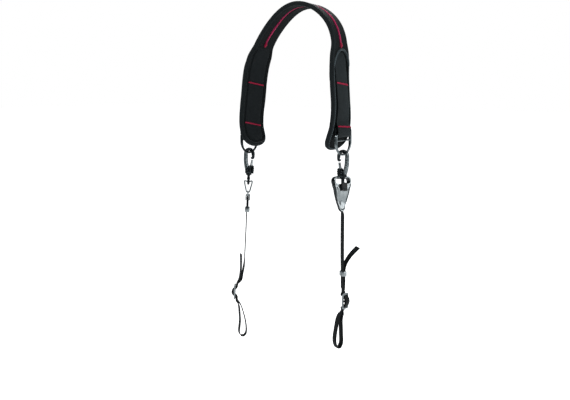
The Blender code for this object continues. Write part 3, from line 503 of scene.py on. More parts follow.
def arc(centre, radius, first, last, count):
    """Points on an arc, angles in degrees. radius is one number, or one across and one up."""
    wide, tall = np.broadcast_to(radius, 2)
    angles = np.radians(np.linspace(first, last, count))
    return [(centre[0] + wide * math.cos(a), centre[1] + tall * math.sin(a)) for a in angles]


def ease(share):
    share = np.clip(share, 0.0, 1.0)
    return share * share * (3 - 2 * share)


def even(points, step):
    """The same line with its points about a step apart."""
    along = lengths(points)
    count = max(int(round(along[-1] / step)), 2)
    at = np.linspace(0, along[-1], count + 1)
    return np.stack([np.interp(at, along, points[:, k]) for k in range(points.shape[1])], axis=1)


def looped(points):
    """The points with the first one again at their end."""
    points = np.asarray(points, float)
    return np.concatenate([points, points[:1]])


def closed(points, step, steps=0):
    """A closed line, its points about a step apart, smoothed first where steps are given."""
    line = looped(points)
    return even(smooth(line, steps) if steps else line, step)[:-1]


def mirrored(half):
    """An outline from its half, whose two ends lie on the middle line."""
    return np.concatenate([half, np.array(half[-2:0:-1]) * (-1, 1)])


def between(value, table):
    """What a table of (number, result) pairs gives for a value."""
    numbers, results = zip(*table)
    return np.interp(value, numbers, results)


def from_ends(line, reach):
    """0 at both ends of a line, 1 further than reach from them."""
    run = lengths(line)
    return ease(np.minimum(run, run[-1] - run) / reach)


def skin(name, rows, mat, body, loop=False, around=True):
    """A surface through rows of points. UV holds metres along the rows, then across them."""
    rows = np.asarray(rows, float)
    n, m = rows.shape[:2]
    long_way = lengths(looped(rows).mean(1))
    wide_way = lengths(looped(rows[n // 2]))
    last_row, last_column = (n if loop else n - 1), (m if around else m - 1)
    a, b = (k.ravel() for k in np.meshgrid(np.arange(last_row), np.arange(last_column), indexing="ij"))
    corners = ((a, b), (a, b + 1), (a + 1, b + 1), (a + 1, b))
    faces = np.stack([(i % n) * m + j % m for i, j in corners], axis=1).tolist()
    uv = [np.stack([long_way[i], wide_way[j]], axis=1) for i, j in corners]
    uv = np.stack(uv, axis=1).reshape(-1, 2)
    if around and not loop:
        faces += [list(range(m))[::-1], [(n - 1) * m + j for j in range(m)]]
        uv = np.concatenate([uv, np.zeros((2 * m, 2))])
    mesh = bpy.data.meshes.new(name)
    mesh.from_pydata(rows.reshape(-1, 3).tolist(), [], faces)
    mesh.uv_layers.new(name="UVMap").data.foreach_set("uv", uv.astype(np.float32).ravel())
    return add(name, mesh, mat, body)


def shown(name, data):
    """An object put in the scene."""
    obj = bpy.data.objects.new(name, data)
    bpy.context.scene.collection.objects.link(obj)
    return obj


def add(name, mesh, mat, body):
    """The mesh as a piece in its finish, riding on a body."""
    bm = bmesh.new()
    bm.from_mesh(mesh)
    bmesh.ops.recalc_face_normals(bm, faces=bm.faces)
    bm.to_mesh(mesh)
    bm.free()
    mesh.shade_smooth()
    mesh.set_sharp_from_angle(angle=math.radians(SHARP_FROM))
    mesh.materials.append(mat)
    obj = shown(name, mesh)
    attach(obj, body)
    return obj


def joined(name, parts):
    """Several pieces made into one."""
    with bpy.context.temp_override(
        active_object=parts[0], selected_editable_objects=parts, object=parts[0], selected_objects=parts
    ):
        bpy.ops.object.join()
    parts[0].name = name
    parts[0].data.name = name
    return parts[0]


def rounded_box(width, height, radius, steps=4):
    """Outline of a flat strip's cross-section, its corners rounded."""
    w, h = width / 2 - radius, height / 2 - radius
    made = []
    for (x, y), first in (((w, h), 0), ((-w, h), 90), ((-w, -h), 180), ((w, -h), 270)):
        made += arc((x, y), radius, first, first + 90, steps)
    return np.array(made)


def sweep(name, path, across, outline, mat, body, **how):
    """A cross-section carried along a path. across is the way of the outline's first coordinate."""
    path = np.asarray(path, float)
    along = tangents(path, how.get("loop"))
    across = unit(np.broadcast_to(across, path.shape))
    across = unit(across - along * (across * along).sum(1, keepdims=True))
    out = np.cross(along, across)
    outline = np.asarray(outline, float)
    if outline.ndim == 2:
        outline = np.broadcast_to(outline, (len(path), *outline.shape))
    rows = path[:, None] + across[:, None] * outline[..., :1] + out[:, None] * outline[..., 1:]
    return skin(name, rows, mat, body, **how)


# --- padded arch


class Arch:
    """The pad's middle line, and places on its cross-section anywhere along it."""

    def __init__(self):
        self.line = smooth(np.array(ARCH_MM) * MM, 24)
        self.along = lengths(self.line)
        self.length = self.along[-1]
        self.turning = tangents(self.line)

    def frame(self, s):
        """(place, direction to the front edge, direction out of the outer face)"""
        s = np.asarray(s, float)
        x, z = (np.interp(s, self.along, self.line[:, k]) for k in (0, 1))
        tx, tz = (np.interp(s, self.along, self.turning[:, k]) for k in (0, 1))
        past = s - np.clip(s, 0, self.length)
        none = np.zeros_like(x)
        place = np.stack([x + tx * past, none, z + tz * past], axis=-1)
        out = unit(np.stack([-tz, none, tx], axis=-1))
        front = np.array([0.0, -1.0, 0.0])
        lean = between(s / self.length, FLARE)[..., None]
        return (
            place,
            front * np.cos(lean) + out * np.sin(lean),
            out * np.cos(lean) - front * np.sin(lean),
        )

    def at(self, s, v, h):
        place, front, out = self.frame(s)
        return place + front * np.asarray(v)[..., None] + out * np.asarray(h)[..., None]

    def from_tip(self, side, distance):
        return distance if side < 0 else self.length - distance

    def nearer(self, s):
        return np.minimum(s, self.length - s)


ARCH = Arch()


def limb(from_tip):
    """Half the pad's width without its round tip, and the share of the tip that is left."""
    share = ease((from_tip - WIDEN[0]) / (WIDEN[1] - WIDEN[0]))
    half = (END_WIDTH + (ARCH_WIDTH - END_WIDTH) * share) / 2
    return half, np.clip((TIP_LENGTH - from_tip) / TIP_LENGTH, 0, 1)


def half_width(from_tip):
    """Half the pad's width at a distance from the nearer tip."""
    half, left = limb(from_tip)
    return half * (1 - left**TIP_POWER) ** (1 / TIP_POWER)


def from_edge(from_tip, v):
    """Distance from the pad's outline, inwards."""
    half, left = limb(from_tip)
    reach = ((np.abs(v) / half) ** TIP_POWER + left**TIP_POWER) ** (1 / TIP_POWER)
    return np.maximum(1 - reach, 0) * half


def past_mouth(from_tip, v):
    """Distance outwards from the channel's outline, which is round at its top."""
    half = np.minimum(CHANNEL_HALF, np.maximum(half_width(from_tip) - CHANNEL_RIM, 1 * MM))
    rise = np.clip((from_tip - (MOUTH - MOUTH_HEIGHT)) / MOUTH_HEIGHT, 0, None)
    reach = np.sqrt((v / half) ** 2 + rise**2)
    return (reach - 1) * CHANNEL_HALF


def channel_depth(from_tip):
    """Depth of the channel that the webbing lies in."""
    return between(from_tip / MM, CHANNEL_MM) * MM


def swell(edge):
    """Half of the pad's thickness at a distance from its edge."""
    inside = np.clip(edge / RIM_HALF, 0, 1)
    rim = RIM_HALF * (1 - (1 - inside) ** RIM_POWER) ** (1 / RIM_POWER)
    return rim + (PAD_HALF - RIM_HALF) * ease(edge / RIM_REACH)


def dent(distance, half):
    """A smooth dip, 1 at its middle."""
    return np.exp(-((distance / half) ** 2))


def drift(s):
    """Place of the seams across the pad."""
    return between(s / ARCH.length, PIPING_DRIFT_MM) * MM


def seam(s, v, face):
    """Depth of the seam that the piping lies in."""
    from_tip = ARCH.nearer(s)
    end = ease((from_tip - PIPING_ENDS[face] + SEAM_FADE) / SEAM_FADE)
    return (SEAM_DEPTH * end + sunk(from_tip)) * dent(v - drift(s), SEAM_HALF)


def sunk(from_tip):
    """How far the seams draw the piping in towards the crown."""
    return PIPING_SINK * ease((from_tip - SINK_FROM) / SINK_OVER)


def tack_dents(s, v, from_tip):
    """Depth to which the bar tacks pull the cloth in."""
    depth = np.zeros_like(s)
    for side, front, rear in TACKS_MM:
        mine = s < ARCH.length / 2 if side == "left" else s > ARCH.length / 2
        middle = (front + rear) / 2 + (front - rear) / 2 * np.clip(v / TACK_HALF, -1, 1)
        depth += mine * dent(from_tip - middle * MM, TACK_PULL_ALONG) * dent(v, TACK_PULL_ACROSS)
    return depth * TACK_PULL


def outer_height(s, v):
    """Height of the pad's outer face over its middle."""
    d = ARCH.nearer(s)
    edge, mouth = from_edge(d, v), past_mouth(d, v)
    height = swell(edge) - channel_depth(d) * ease(-mouth / CHANNEL_WALL) * (d < MOUTH)
    lip = LIP_HEIGHT * dent(mouth - LIP_OUT, LIP_HALF) * ease((d - LIP_FROM) / LIP_OVER)
    creases = sum(deep * MM * dent(mouth - out * MM, CREASE_HALF) for out, deep in CREASES_MM)
    creases = creases * ease((d - CREASE_FROM) / CREASE_OVER)
    return height + lip - creases - seam(s, v, 1) * (d > MOUTH)


def panel_edge(from_tip, v):
    """Distance outwards from the inner panel's outline."""
    beside = np.abs(v) - PANEL_HALF
    return np.maximum(beside, PANEL_INSET - from_edge(from_tip, v))


def inner_height(s, v):
    """Height of the pad's inner face over its middle, outwards."""
    d = ARCH.nearer(s)
    rim = panel_edge(d, v)
    on_limb = ease((PANEL_TOP - d) / PANEL_FADE)
    panel = PANEL_SWELL * ease(-rim / PANEL_ROUND) - GROOVE_DEPTH * dent(rim, GROOVE_HALF)
    return -(swell(from_edge(d, v)) + panel * on_limb - tack_dents(s, v, d) - seam(s, v, -1))


def stations(first, tip_count, count):
    """Distances along the pad, close together in its round tips. first is the angle round the tip,
    in degrees, of the first one."""
    tip = TIP_LENGTH * (1 - np.cos(np.radians(np.linspace(first, 90, tip_count))))
    middle = np.linspace(TIP_LENGTH, ARCH.length - TIP_LENGTH, count)[1:-1]
    return np.concatenate([tip, middle, (ARCH.length - tip)[::-1]])


def shoulder_pad():
    """The foam pad in its cloth: swollen faces, a channel with a raised lip, grooves and seams."""
    s = stations(3, 26, 400)
    crowded = np.sin(np.radians(np.linspace(-90, 90, PAD_COLUMNS)))
    across = PAD_CROWD * crowded + (1 - PAD_CROWD) * np.linspace(-1, 1, PAD_COLUMNS)
    d = ARCH.nearer(s)[:, None]
    v = half_width(d) * across
    grid = np.broadcast_to(s[:, None], v.shape)
    outer = ARCH.at(grid, v, outer_height(grid, v))
    inner = ARCH.at(grid, v, inner_height(grid, v))
    obj = skin("padded_arch", np.concatenate([outer, inner[:, -2:0:-1]], axis=1), PAD_CLOTH, "arch")
    places = np.concatenate([v, v[:, -2:0:-1]], axis=1)
    on_panel = (panel_edge(d, places) < 0) & (d < PANEL_TOP)
    on_panel[:, :PAD_COLUMNS] = False
    repaint(obj, PANEL_CLOTH, on_panel[:-1])
    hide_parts("shoulder_pad")


def edge_line():
    """The pad's outline as a closed line (s, v), with the way inwards."""
    s = stations(0, 40, 330)
    v = half_width(ARCH.nearer(s))
    line = np.concatenate([np.stack([s, v], 1), np.stack([s, -v], 1)[-2:0:-1]])
    line = closed(line, LINE_STEP)
    return line, rightwards(tangents(line, True))


def face_height(face, s, v):
    """Height of the outer (1) or inner (-1) face."""
    return outer_height(s, v) if face > 0 else inner_height(s, v)


def edge_binding():
    """Tape folded over the pad's edge all the way round."""
    line, inward = edge_line()
    folds = {1: [], -1: []}
    for face, rows in folds.items():
        for share, lift in BINDING_SECTION:
            reach = share * BINDING_REACH
            s, v = (line + inward * reach).T
            height = face_height(face, s, v) + face * lift * BINDING_THICK
            outwards = BINDING_THICK * (1 - min(reach / BINDING_ROUND, 1.0))
            s, v = (line + inward * (reach - outwards)).T
            rows.append(ARCH.at(s, v, height))
    s, v = (line - inward * BINDING_THICK).T
    rows = [*folds[1], ARCH.at(s, v, np.zeros_like(s)), *folds[-1][::-1]]
    obj = skin("edge_binding", np.stack(rows, axis=1), BINDING, "arch", loop=True, around=False)


def circles(radii, sides=14):
    """Round outlines, one for each radius."""
    circle = np.array(arc((0, 0), 1.0, 0, 360, sides + 1)[:-1])
    return circle * np.asarray(radii, float)[:, None, None]


def tube(name, path, radii, mat, body, sides=10):
    """A round cord along a path, its radius given once or for each point."""
    path = np.asarray(path, float)
    along = tangents(path)
    across = np.cross(along, [0.0, 1.0, 0.0])
    weak = np.linalg.norm(across, axis=1) < 0.2
    across[weak] = np.cross(along[weak], [1.0, 0.0, 0.0])
    outline = circles(np.broadcast_to(radii, (len(path),)), sides)
    return sweep(name, path, across, outline, mat, body)


def piping(name, face):
    """A cord in the seam of the outer (1) or inner (-1) face, with a satin-stitched end."""
    end = PIPING_ENDS[face]
    s = np.linspace(end, ARCH.length - end, 260)
    lift = PAD_HALF - SEAM_DEPTH + PIPING_RADIUS * PIPING_RISE
    path = ARCH.at(s, drift(s), face * (lift - sunk(ARCH.nearer(s))))
    cord = tube(name, path, PIPING_RADIUS, RED_CORD, "arch")
    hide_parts(name)
    ends = []
    for side in (-1, 1):
        run = np.linspace(end - END_REACH, end + END_REACH, 46)
        bulge = END_RADIUS * np.sqrt(np.clip(1 - ((run - end) / END_HALF) ** 2, END_LEAST, 1))
        bulge *= 1 + END_RIPPLE * np.cos((run - end) / END_STITCH * math.pi)
        s = ARCH.from_tip(side, run)
        path = ARCH.at(s, drift(s), np.zeros_like(s) + face * (lift + THREAD_LIFT))
        ends.append(tube(f"{name}_end", path, bulge, RED_THREAD, "arch", 14))
    joined(f"{name}_end_stitches", ends)


def mouth_line(side, low):
    """(s, v) along the channel's outline, from low at the front, over the mouth, to low at the rear."""
    base = MOUTH - MOUTH_HEIGHT
    leg = np.linspace(low, base, 40)[:-1]
    half = np.minimum(CHANNEL_HALF, half_width(leg) - CHANNEL_RIM)
    angles = np.radians(np.linspace(0, 180, 60))
    crown = np.stack([base + MOUTH_HEIGHT * np.sin(angles), CHANNEL_HALF * np.cos(angles)], axis=1)
    line = np.concatenate([np.stack([leg, half], 1), crown, np.stack([leg, -half], 1)[::-1]])
    return even(line, LINE_STEP)


def mouth_binding(name, side):
    """Tape rolled over the mouth's lip and down both sides of the channel."""
    line = mouth_line(side, LIP_TAPE_LOW)
    outward = rightwards(tangents(line))
    outward *= np.sign((outward * (line - [LIP_TAPE_MIDDLE, 0])).sum(1, keepdims=True))
    full = from_ends(line, LIP_TAPE_FADE)
    rows = []
    for reach, lift in LIP_SECTION:
        at = line + outward * (LIP_FLAT[0] + (reach - LIP_FLAT[0]) * full)[:, None] * MM
        d, v = (line + outward * max(reach, LIP_TAPE_REACH) * MM).T
        top = outer_height(ARCH.from_tip(side, d), v)
        top = top + (lift * full + LIP_FLAT[1] * (1 - full)) * MM
        rows.append(ARCH.at(ARCH.from_tip(side, at[:, 0]), at[:, 1], top))
    # The lip's tape is coloured light grey as a painted highlight.
    obj = skin(name, np.stack(rows, axis=1), HIGHLIGHT_CORD, "arch", around=False)


def edge_cords(name):
    """A thin cord in the edge of each face, down one side of the limb, round the tip and up."""
    side = SIDES[name][0]
    line, inward = edge_line()
    mine = (line[:, 0] < ARCH.length / 2) == (side < 0)
    low = mine & (ARCH.nearer(line[:, 0]) < EDGE_CORD_TOP)
    first = int(np.flatnonzero(low & ~np.roll(low, 1))[0])
    order = (first + np.arange(low.sum())) % len(line)
    s, v = (line + inward * EDGE_CORD_INSET)[order].T
    parts = []
    # On the outer face the cord is coloured light grey as a painted highlight; on the inner face it
    # takes the dark webbing colour.
    for face, finish in ((1, HIGHLIGHT_CORD), (-1, WIDE_WEBBING)):
        path = ARCH.at(s, v, face_height(face, s, v) + face * EDGE_CORD_LIFT)
        grown = EDGE_CORD_THIN + (1 - EDGE_CORD_THIN) * from_ends(path, EDGE_CORD_FADE)
        radii = EDGE_CORD_RADIUS * grown
        parts.append(tube(f"edge_{face}", path, radii, finish, "arch", 8))
    joined(f"edge_cords_{name}", parts)


# --- webbing tabs and bar tacks


def tab_lift(from_tip):
    """Height of the webbing's middle over the pad's middle where it lies in the channel."""
    return PAD_HALF + TAB_LIFT + TAB_THICK / 2 - channel_depth(from_tip)


def hook_origin(name):
    _, x, z, _, _ = SIDES[name]
    return np.array([x, 0, z])


def top_bar(name):
    """Middle of the ring's top bar."""
    rise = HOOK_INNER * MM - HOOK_PLAY - RING_WIRE + RING_HEIGHT
    return hook_origin(name) + np.array([0, 0, rise])


def tab_rows(name):
    """(place, way to the front, way out, half the width) down the webbing and round the ring's bar."""
    side = SIDES[name][0]
    distances = np.linspace(TAB_TOP, TAB_LEAVES_PAD, 70)
    s = ARCH.from_tip(side, distances)
    place, front, out = ARCH.frame(s)
    aside = TAB_DRIFT * dent(distances - TAB_DRIFT_AT, TAB_DRIFT_OVER)
    laid = place + out * tab_lift(distances)[:, None] - front * aside[:, None]
    rise = np.clip((distances - (MOUTH - MOUTH_HEIGHT)) / MOUTH_HEIGHT, 0, 1)
    half = np.minimum(CHANNEL_HALF * np.sqrt(1 - rise**2) - TAB_INSET, TAB_HALF)
    half = np.maximum(half, TAB_LEAST)
    bar = top_bar(name)
    outward = np.array([side, 0.0, 0.0])
    wrap = RING_WIRE + GAP + TAB_THICK / 2
    at_bar = bar + outward * wrap
    hanging = smooth([laid[-4], laid[-1], at_bar + [0, 0, TAB_DROP], at_bar], 14)[15:]
    rows = list(zip(laid, front, out, half))
    runs = lengths(hanging)
    for i, point in enumerate(hanging[:-1]):
        along = unit(hanging[i + 1] - hanging[i])
        lean = ARCH.frame(ARCH.from_tip(side, distances[-1] - runs[i]))[1]
        way = np.cross(lean, along)
        rows.append((point, lean, unit(way * math.copysign(1, way @ outward)), TAB_HALF))
    straight = np.array([0.0, -1.0, 0.0])
    for angle in np.radians(np.linspace(0, 180, 19)):
        way = outward * math.cos(angle) - np.array([0, 0, math.sin(angle)])
        rows.append((bar + way * wrap, straight, way, TAB_HALF))
    for height in np.linspace(0, TAB_RETURN, 6)[1:]:
        rows.append((bar - outward * wrap + [0, 0, height], straight, -outward, TAB_HALF))
    return rows


def tab(name):
    """The webbing sewn to the pad, out of its mouth and round the ring."""
    section = rounded_box(2.0, TAB_THICK / MM, TAB_EDGE)
    wide, thick = section[:, :1], section[:, 1:] * MM
    made = []
    for place, front, out, half in tab_rows(name):
        across = np.sign(wide) * (half - MM * (1 - np.abs(wide)))
        made.append(place + front * across + out * thick)
    obj = skin(f"webbing_tab_{name}", made, WIDE_WEBBING, "arch")
    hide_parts(f"tab_{name}")


def tab_places(name):
    """Places on the webbing's outer face, from the distance from the tip and across."""
    rows = tab_rows(name)[:TAB_FLAT_ROWS]
    middles, fronts, outs = (np.array([row[k] for row in rows]) for k in range(3))
    far = TAB_TOP - lengths(middles)

    def place(d, v):
        def pick(values):
            return np.stack([np.interp(-d, -far, values[:, k]) for k in range(3)], axis=1)

        return pick(middles) + pick(fronts) * v[:, None] + pick(outs) * (TAB_THICK / 2 + THREAD_LIFT)

    return place


def bar_tacks(name):
    """Crimson bars of zigzag stitching across the webbing and through to the inner panel."""
    side = SIDES[name][0]
    over = tab_places(name)
    made = []
    for _, front, rear in (tack for tack in TACKS_MM if tack[0] == name):
        for face in (1, -1):
            v = np.linspace(TACK_HALF, -TACK_HALF, TACK_STITCHES)
            v = v if face < 0 else v * (TAB_HALF - TACK_INSET) / TACK_HALF
            zig = np.where(np.arange(len(v)) % 2, 0.5, -0.5) * TACK_HEIGHT
            d = (front + rear) / 2 * MM + (front - rear) / 2 * MM * v / TACK_HALF + zig
            if face > 0:
                path = over(d, v)
            else:
                s = ARCH.from_tip(side, d)
                path = ARCH.at(s, v, inner_height(s, v) - THREAD_LIFT)
            path = even(path, THREAD_STEP)
            made.append(tube(f"tack_{face}", path, THREAD_RADIUS, RED_THREAD, "arch", 6))
    joined(f"bar_tacks_{name}", made)


# --- narrow straps


def chain_frame(name, turn):
    """A frame with its origin on the hook's bend and Z up the chain, turned about it."""
    _, x, z, lean, _ = SIDES[name]
    chain = Matrix.Translation((x, 0, z)) @ Matrix.Rotation(math.radians(lean), 4, "Y")
    return np.array(chain @ Matrix.Rotation(turn, 4, "Z"))


def hang_frame(name):
    """The frame of the drop: X across it."""
    return chain_frame(name, math.radians(SIDES[name][4]))


def shifted(points, distance):
    """The points moved sideways from their own line, to the right of its direction if positive."""
    line = np.array(points, float)
    return line + rightwards(tangents(line)) * distance


def through_slider(across, middle, front, slot, behind, swing):
    """The middle of the two layers on their way through a slider, top to bottom. slot is how far
    from the slider's middle they cross it, and behind and swing how far they stand out."""
    back, out = across - front * behind, across + front * swing
    reach = SLIDER_HEIGHT / 2
    upper = (
        (reach + SLIDER_ENTRY, back),
        (min(slot + SLIDER_BEND, reach - SLIDER_ENTRY), back),
        (slot, across),
        (slot - SLIDER_BEND, out),
    )
    steps = upper + tuple((-rise, u) for rise, u in reversed(upper))
    return [(u, middle + rise) for rise, u in steps]


def fold(top, foot):
    """A doubled end: up at the right, round, and down at the left."""
    half = FOLD_PITCH / 2
    return [(half, foot), (half, top - half)] + arc((0, top - half), half, 30, 180, 6)


# Of each slider, in millimetres: across, up, the side that the webbing swings to, how far from the
# slider's middle it crosses, and how far it stands out behind and in front
SLIDERS = {
    "left": (-12.7, -191.8, -1, 4.6, 2.9, 2.9),
    "right": (4.8, -186.6, 1, 6.1, 3.6, 2.7),
}
# Lines of the straps, in millimetres: across, up
LEFT_FOLD = (-58.2, -79.0)
LEFT_START = (
    (-0.8, -68.0), (-0.8, -79.5), (-0.7, -93.0), (-0.8, -115.0), (-1.0, -141.0),
    (-1.6, -155.0), (-3.4, -167.5), (-5.8, -176.5),
)
LEFT_DOWN = (
    (-5.6, -207.6), (-2.4, -213.5), (0.6, -222.0), (3.6, -233.0), (5.2, -244.0),
    (4.2, -251.2), (1.8, -254.0),
)
LEFT_UP = (
    (-1.6, -254.0), (-4.0, -251.0), (-4.7, -244.0), (-4.1, -232.0), (-5.1, -221.0),
    (-6.1, -213.0), (-8.2, -207.4),
)
LEFT_TAIL = ((-8.4, -176.4), (-6.2, -168.6), (-5.6, -156.0), (-6.3, -138.4))
RIGHT_START = (
    (0.0, -69.0), (0.0, -72.0), (0.0, -100.0), (0.2, -132.0), (0.5, -147.0), (0.65, -160.0),
)
RIGHT_DOWN = (
    (-2.8, -202.4), (-6.1, -209.0), (-8.1, -219.0), (-10.2, -232.0), (-9.4, -242.0), (-7.0, -246.6),
)
RIGHT_UP = ((-3.6, -246.6), (-1.2, -242.0), (-0.7, -232.0), (-1.3, -218.0), (-1.0, -207.6))
RIGHT_TAIL = (
    (2.3, -160.0), (2.3, -148.0), (3.6, -140.0), (7.3, -133.0), (12.2, -127.0), (17.5, -122.2),
    (22.9, -117.7),
)


def strap_line(doubled, start, slider, loop, tail, outer):
    """The webbing's middle line. outer is the side on which the returning layer lies."""
    both = smooth(through_slider(*slider), 2)
    inner = shifted(both, -outer * WEB_PITCH / 2)
    returning = shifted(both, outer * WEB_PITCH / 2)[::-1]
    down = smooth([*start, *inner, *loop[0]], 6)
    up = smooth([*loop[1], *returning, *tail], 6)
    return np.concatenate([doubled, down, up] if doubled else [down, up])


def slider_turn(name, height):
    """Turn of the webbing in and next to its slider, in radians, at a height up the drop."""
    away = np.abs(height - SLIDERS[name][1]) - SLIDER_HOLD
    return math.radians(SLIDER_TURN[name]) * (1 - ease(away / SLIDER_FADE))


def twisted(name, flat):
    """The way across the webbing along its line."""
    place = hang_frame(name)
    height, run = flat[:, 1], lengths(flat)
    above, below = STRAP_TURN[name]
    tail = run > run[np.argmin(height)]
    straight = ease((STRAIGHT_ABOVE - height) / STRAIGHT_OVER)
    turn = above * ease((height - TURN_ABOVE) / TURN_OVER) * np.where(tail, 1.0, straight)
    turn += below * ease((TURN_BELOW - height) / TURN_OVER) * np.where(tail, 1.0, LOOP_SHARE)
    turn = (np.radians(turn) + slider_turn(name, height))[:, None]
    level = place[:3, 1] * np.cos(turn) - place[:3, 0] * np.sin(turn)
    rolled = ease((run - run[-1] + TAIL_ROLL_OVER) / TAIL_ROLL_OVER)[:, None]
    roll = math.radians(TAIL_ROLL[name]) * rolled
    along = tangents(flat)
    aside = place[:3, 2] * along[:, :1] - place[:3, 0] * along[:, 1:]
    return level * np.cos(roll) + aside * np.sin(roll)


def strap(name, *line):
    """Narrow webbing down through the slider, round the lug's loop and up to its tail."""
    flat = even(strap_line(*line), STRAP_STEP)
    turn = slider_turn(name, flat[:, 1])
    centre = SLIDERS[name][0]
    out = flat[:, 0] - centre
    lost, move, length = GATHER[name]
    pulled = 1 - ease(lengths(flat) / length)
    path = [centre + out * np.cos(turn), out * np.sin(turn) + move * pulled, flat[:, 1]]
    world = placed(np.stack(path, axis=1), hang_frame(name))
    outline = rounded_box(WEB_WIDTH, WEB_THICK, WEB_EDGE, 3)[None] * MM
    outline = np.repeat(outline, len(flat), axis=0)
    outline[..., 0] *= 1 - lost * pulled[:, None]
    body = f"drop_{name}"
    obj = sweep(f"narrow_strap_{name}", world, twisted(name, flat), outline, NARROW_WEBBING, body)
    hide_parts(f"strap_{name}")


# --- metal, in millimetres in the frames of the snap hook, the drop and the clip


def hook_frame(name):
    """The frame of the snap hook: X towards the gate."""
    return chain_frame(name, math.pi if SIDES[name][0] > 0 else 0)


def clip_frame():
    """The frame of the clip: its origin at the tip, its top leaning back."""
    turn = Euler((-math.radians(CLIP_TILT), math.radians(CLIP_ROLL), 0)).to_matrix().to_4x4()
    return hang_frame("right") @ np.array(Matrix.Translation((0, 0, CLIP_TIP * MM)) @ turn)


def placed(points, place):
    """Points in millimetres in a frame, in metres in the world."""
    return np.asarray(points, float) * MM @ place[:3, :3].T + place[:3, 3]


def upright(flat):
    """Points given as (across, up), stood in the XZ plane."""
    flat = np.asarray(flat, float)
    return np.stack([flat[:, 0], np.zeros(len(flat)), flat[:, 1]], axis=1)


def rod(name, flat, outline, place, mat, body, loop=False):
    """A bar bent in the XZ plane. outline: through the plane, then in it, in millimetres."""
    path = placed(upright(flat), place)
    return sweep(name, path, place[:3, 1], np.asarray(outline) * MM, mat, body, loop=loop)


def turned(name, profile, place, mat, body, at=(0, 0, 0), lying=False, sides=32):
    """A turned piece from (radius, height) pairs, about Z, or about Y where it lies."""
    angles = np.linspace(0, 2 * math.pi, sides, endpoint=False)
    rows = []
    for radius, height in profile:
        x, y = radius * np.cos(angles), radius * np.sin(angles)
        z = np.full(sides, height)
        points = np.stack([x, z, y] if lying else [x, y, z], axis=1)
        rows.append(placed(points + at, place))
    return skin(name, rows, mat, body)


def round_edges(obj, width):
    """A rounding of this width, in millimetres, on a piece's sharp edges."""
    modifier = obj.modifiers.new("Rounded edges", "BEVEL")
    modifier.width = width * MM
    modifier.segments = 3
    modifier.limit_method = "ANGLE"
    modifier.angle_limit = math.radians(35)


def plate(name, outline, thickness, edge, place, mat, body, at=0.0):
    """A flat plate standing in the XZ plane, its middle at y = at, with rounded edges."""
    faces = [upright(outline) + (0, at + y, 0) for y in (-thickness / 2, thickness / 2)]
    obj = skin(name, [placed(face, place) for face in faces], mat, body)
    round_edges(obj, edge)
    return obj


def applied(obj):
    """The piece with its modifiers made part of its mesh."""
    graph = bpy.context.evaluated_depsgraph_get()
    mesh = bpy.data.meshes.new_from_object(obj.evaluated_get(graph))
    obj.modifiers.clear()
    obj.data = mesh
    return obj


def repaint(obj, mat, picked):
    """Another material on the picked faces of a skin, given as rows and columns."""
    obj.data.materials.append(mat)
    picks = np.zeros(len(obj.data.polygons), np.int32)
    picks[: picked.size] = picked.ravel()
    obj.data.polygons.foreach_set("material_index", picks)


def one(name, parts, node_name):
    """Parts joined as one piece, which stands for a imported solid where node_name says so."""
    obj = joined(name, [applied(part) for part in parts])
    if node_name:
        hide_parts(node_name)


def ring(name):
    """A cast ring: broad flat arms above, round below, and a round cross bar."""
    place = np.eye(4)
    place[:3, 3] = top_bar(name)
    # The right ring is painted grey as a reflection; the left one, the same ring, stays black nickel.
    finish = {"left": BLACK_NICKEL_AND_SHADE, "right": GREY_NICKEL_AND_REFLECTION}[name]
    half = arc((RING_HALF - RING_CORNER, -RING_CORNER), RING_CORNER, 90, 0, 10)
    half = np.array(half + arc((0, -RING_ARM), (RING_HALF, -RING_BOW), 0, 90, 30))
    line = closed(np.concatenate([half, half[-2::-1] * (-1, 1)]), 0.6)
    share = ease((line[:, 1] + RING_ROUND) / RING_CHANGE)
    depths, thicks = RING_DEPTH[0] + RING_DEPTH[1] * share, RING_THICK[0] + RING_THICK[1] * share
    outline = np.array([rounded_box(d, t, ROUND * t) for d, t in zip(depths, thicks)])
    path = placed(np.stack([0 * line[:, 0], -line[:, 0], line[:, 1]], axis=1), place)
    loop = sweep("ring_frame", path, (1.0, 0.0, 0.0), outline * MM, finish, "arch", loop=True)
    ends = np.linspace(-RING_HALF, RING_HALF, 24)
    path = placed(np.stack([0 * ends, ends, 0 * ends - CROSS_BAR_DROP], axis=1), place)
    start, over, added = BAR_FOOT
    radii = BAR_RADIUS + added * np.clip(np.abs(ends) - start, 0, over) / over
    bar = sweep("ring_bar", path, (1.0, 0.0, 0.0), circles(radii) * MM, finish, "arch")
    one(f"cast_ring_{name}", [loop, bar], f"ring_{name}")


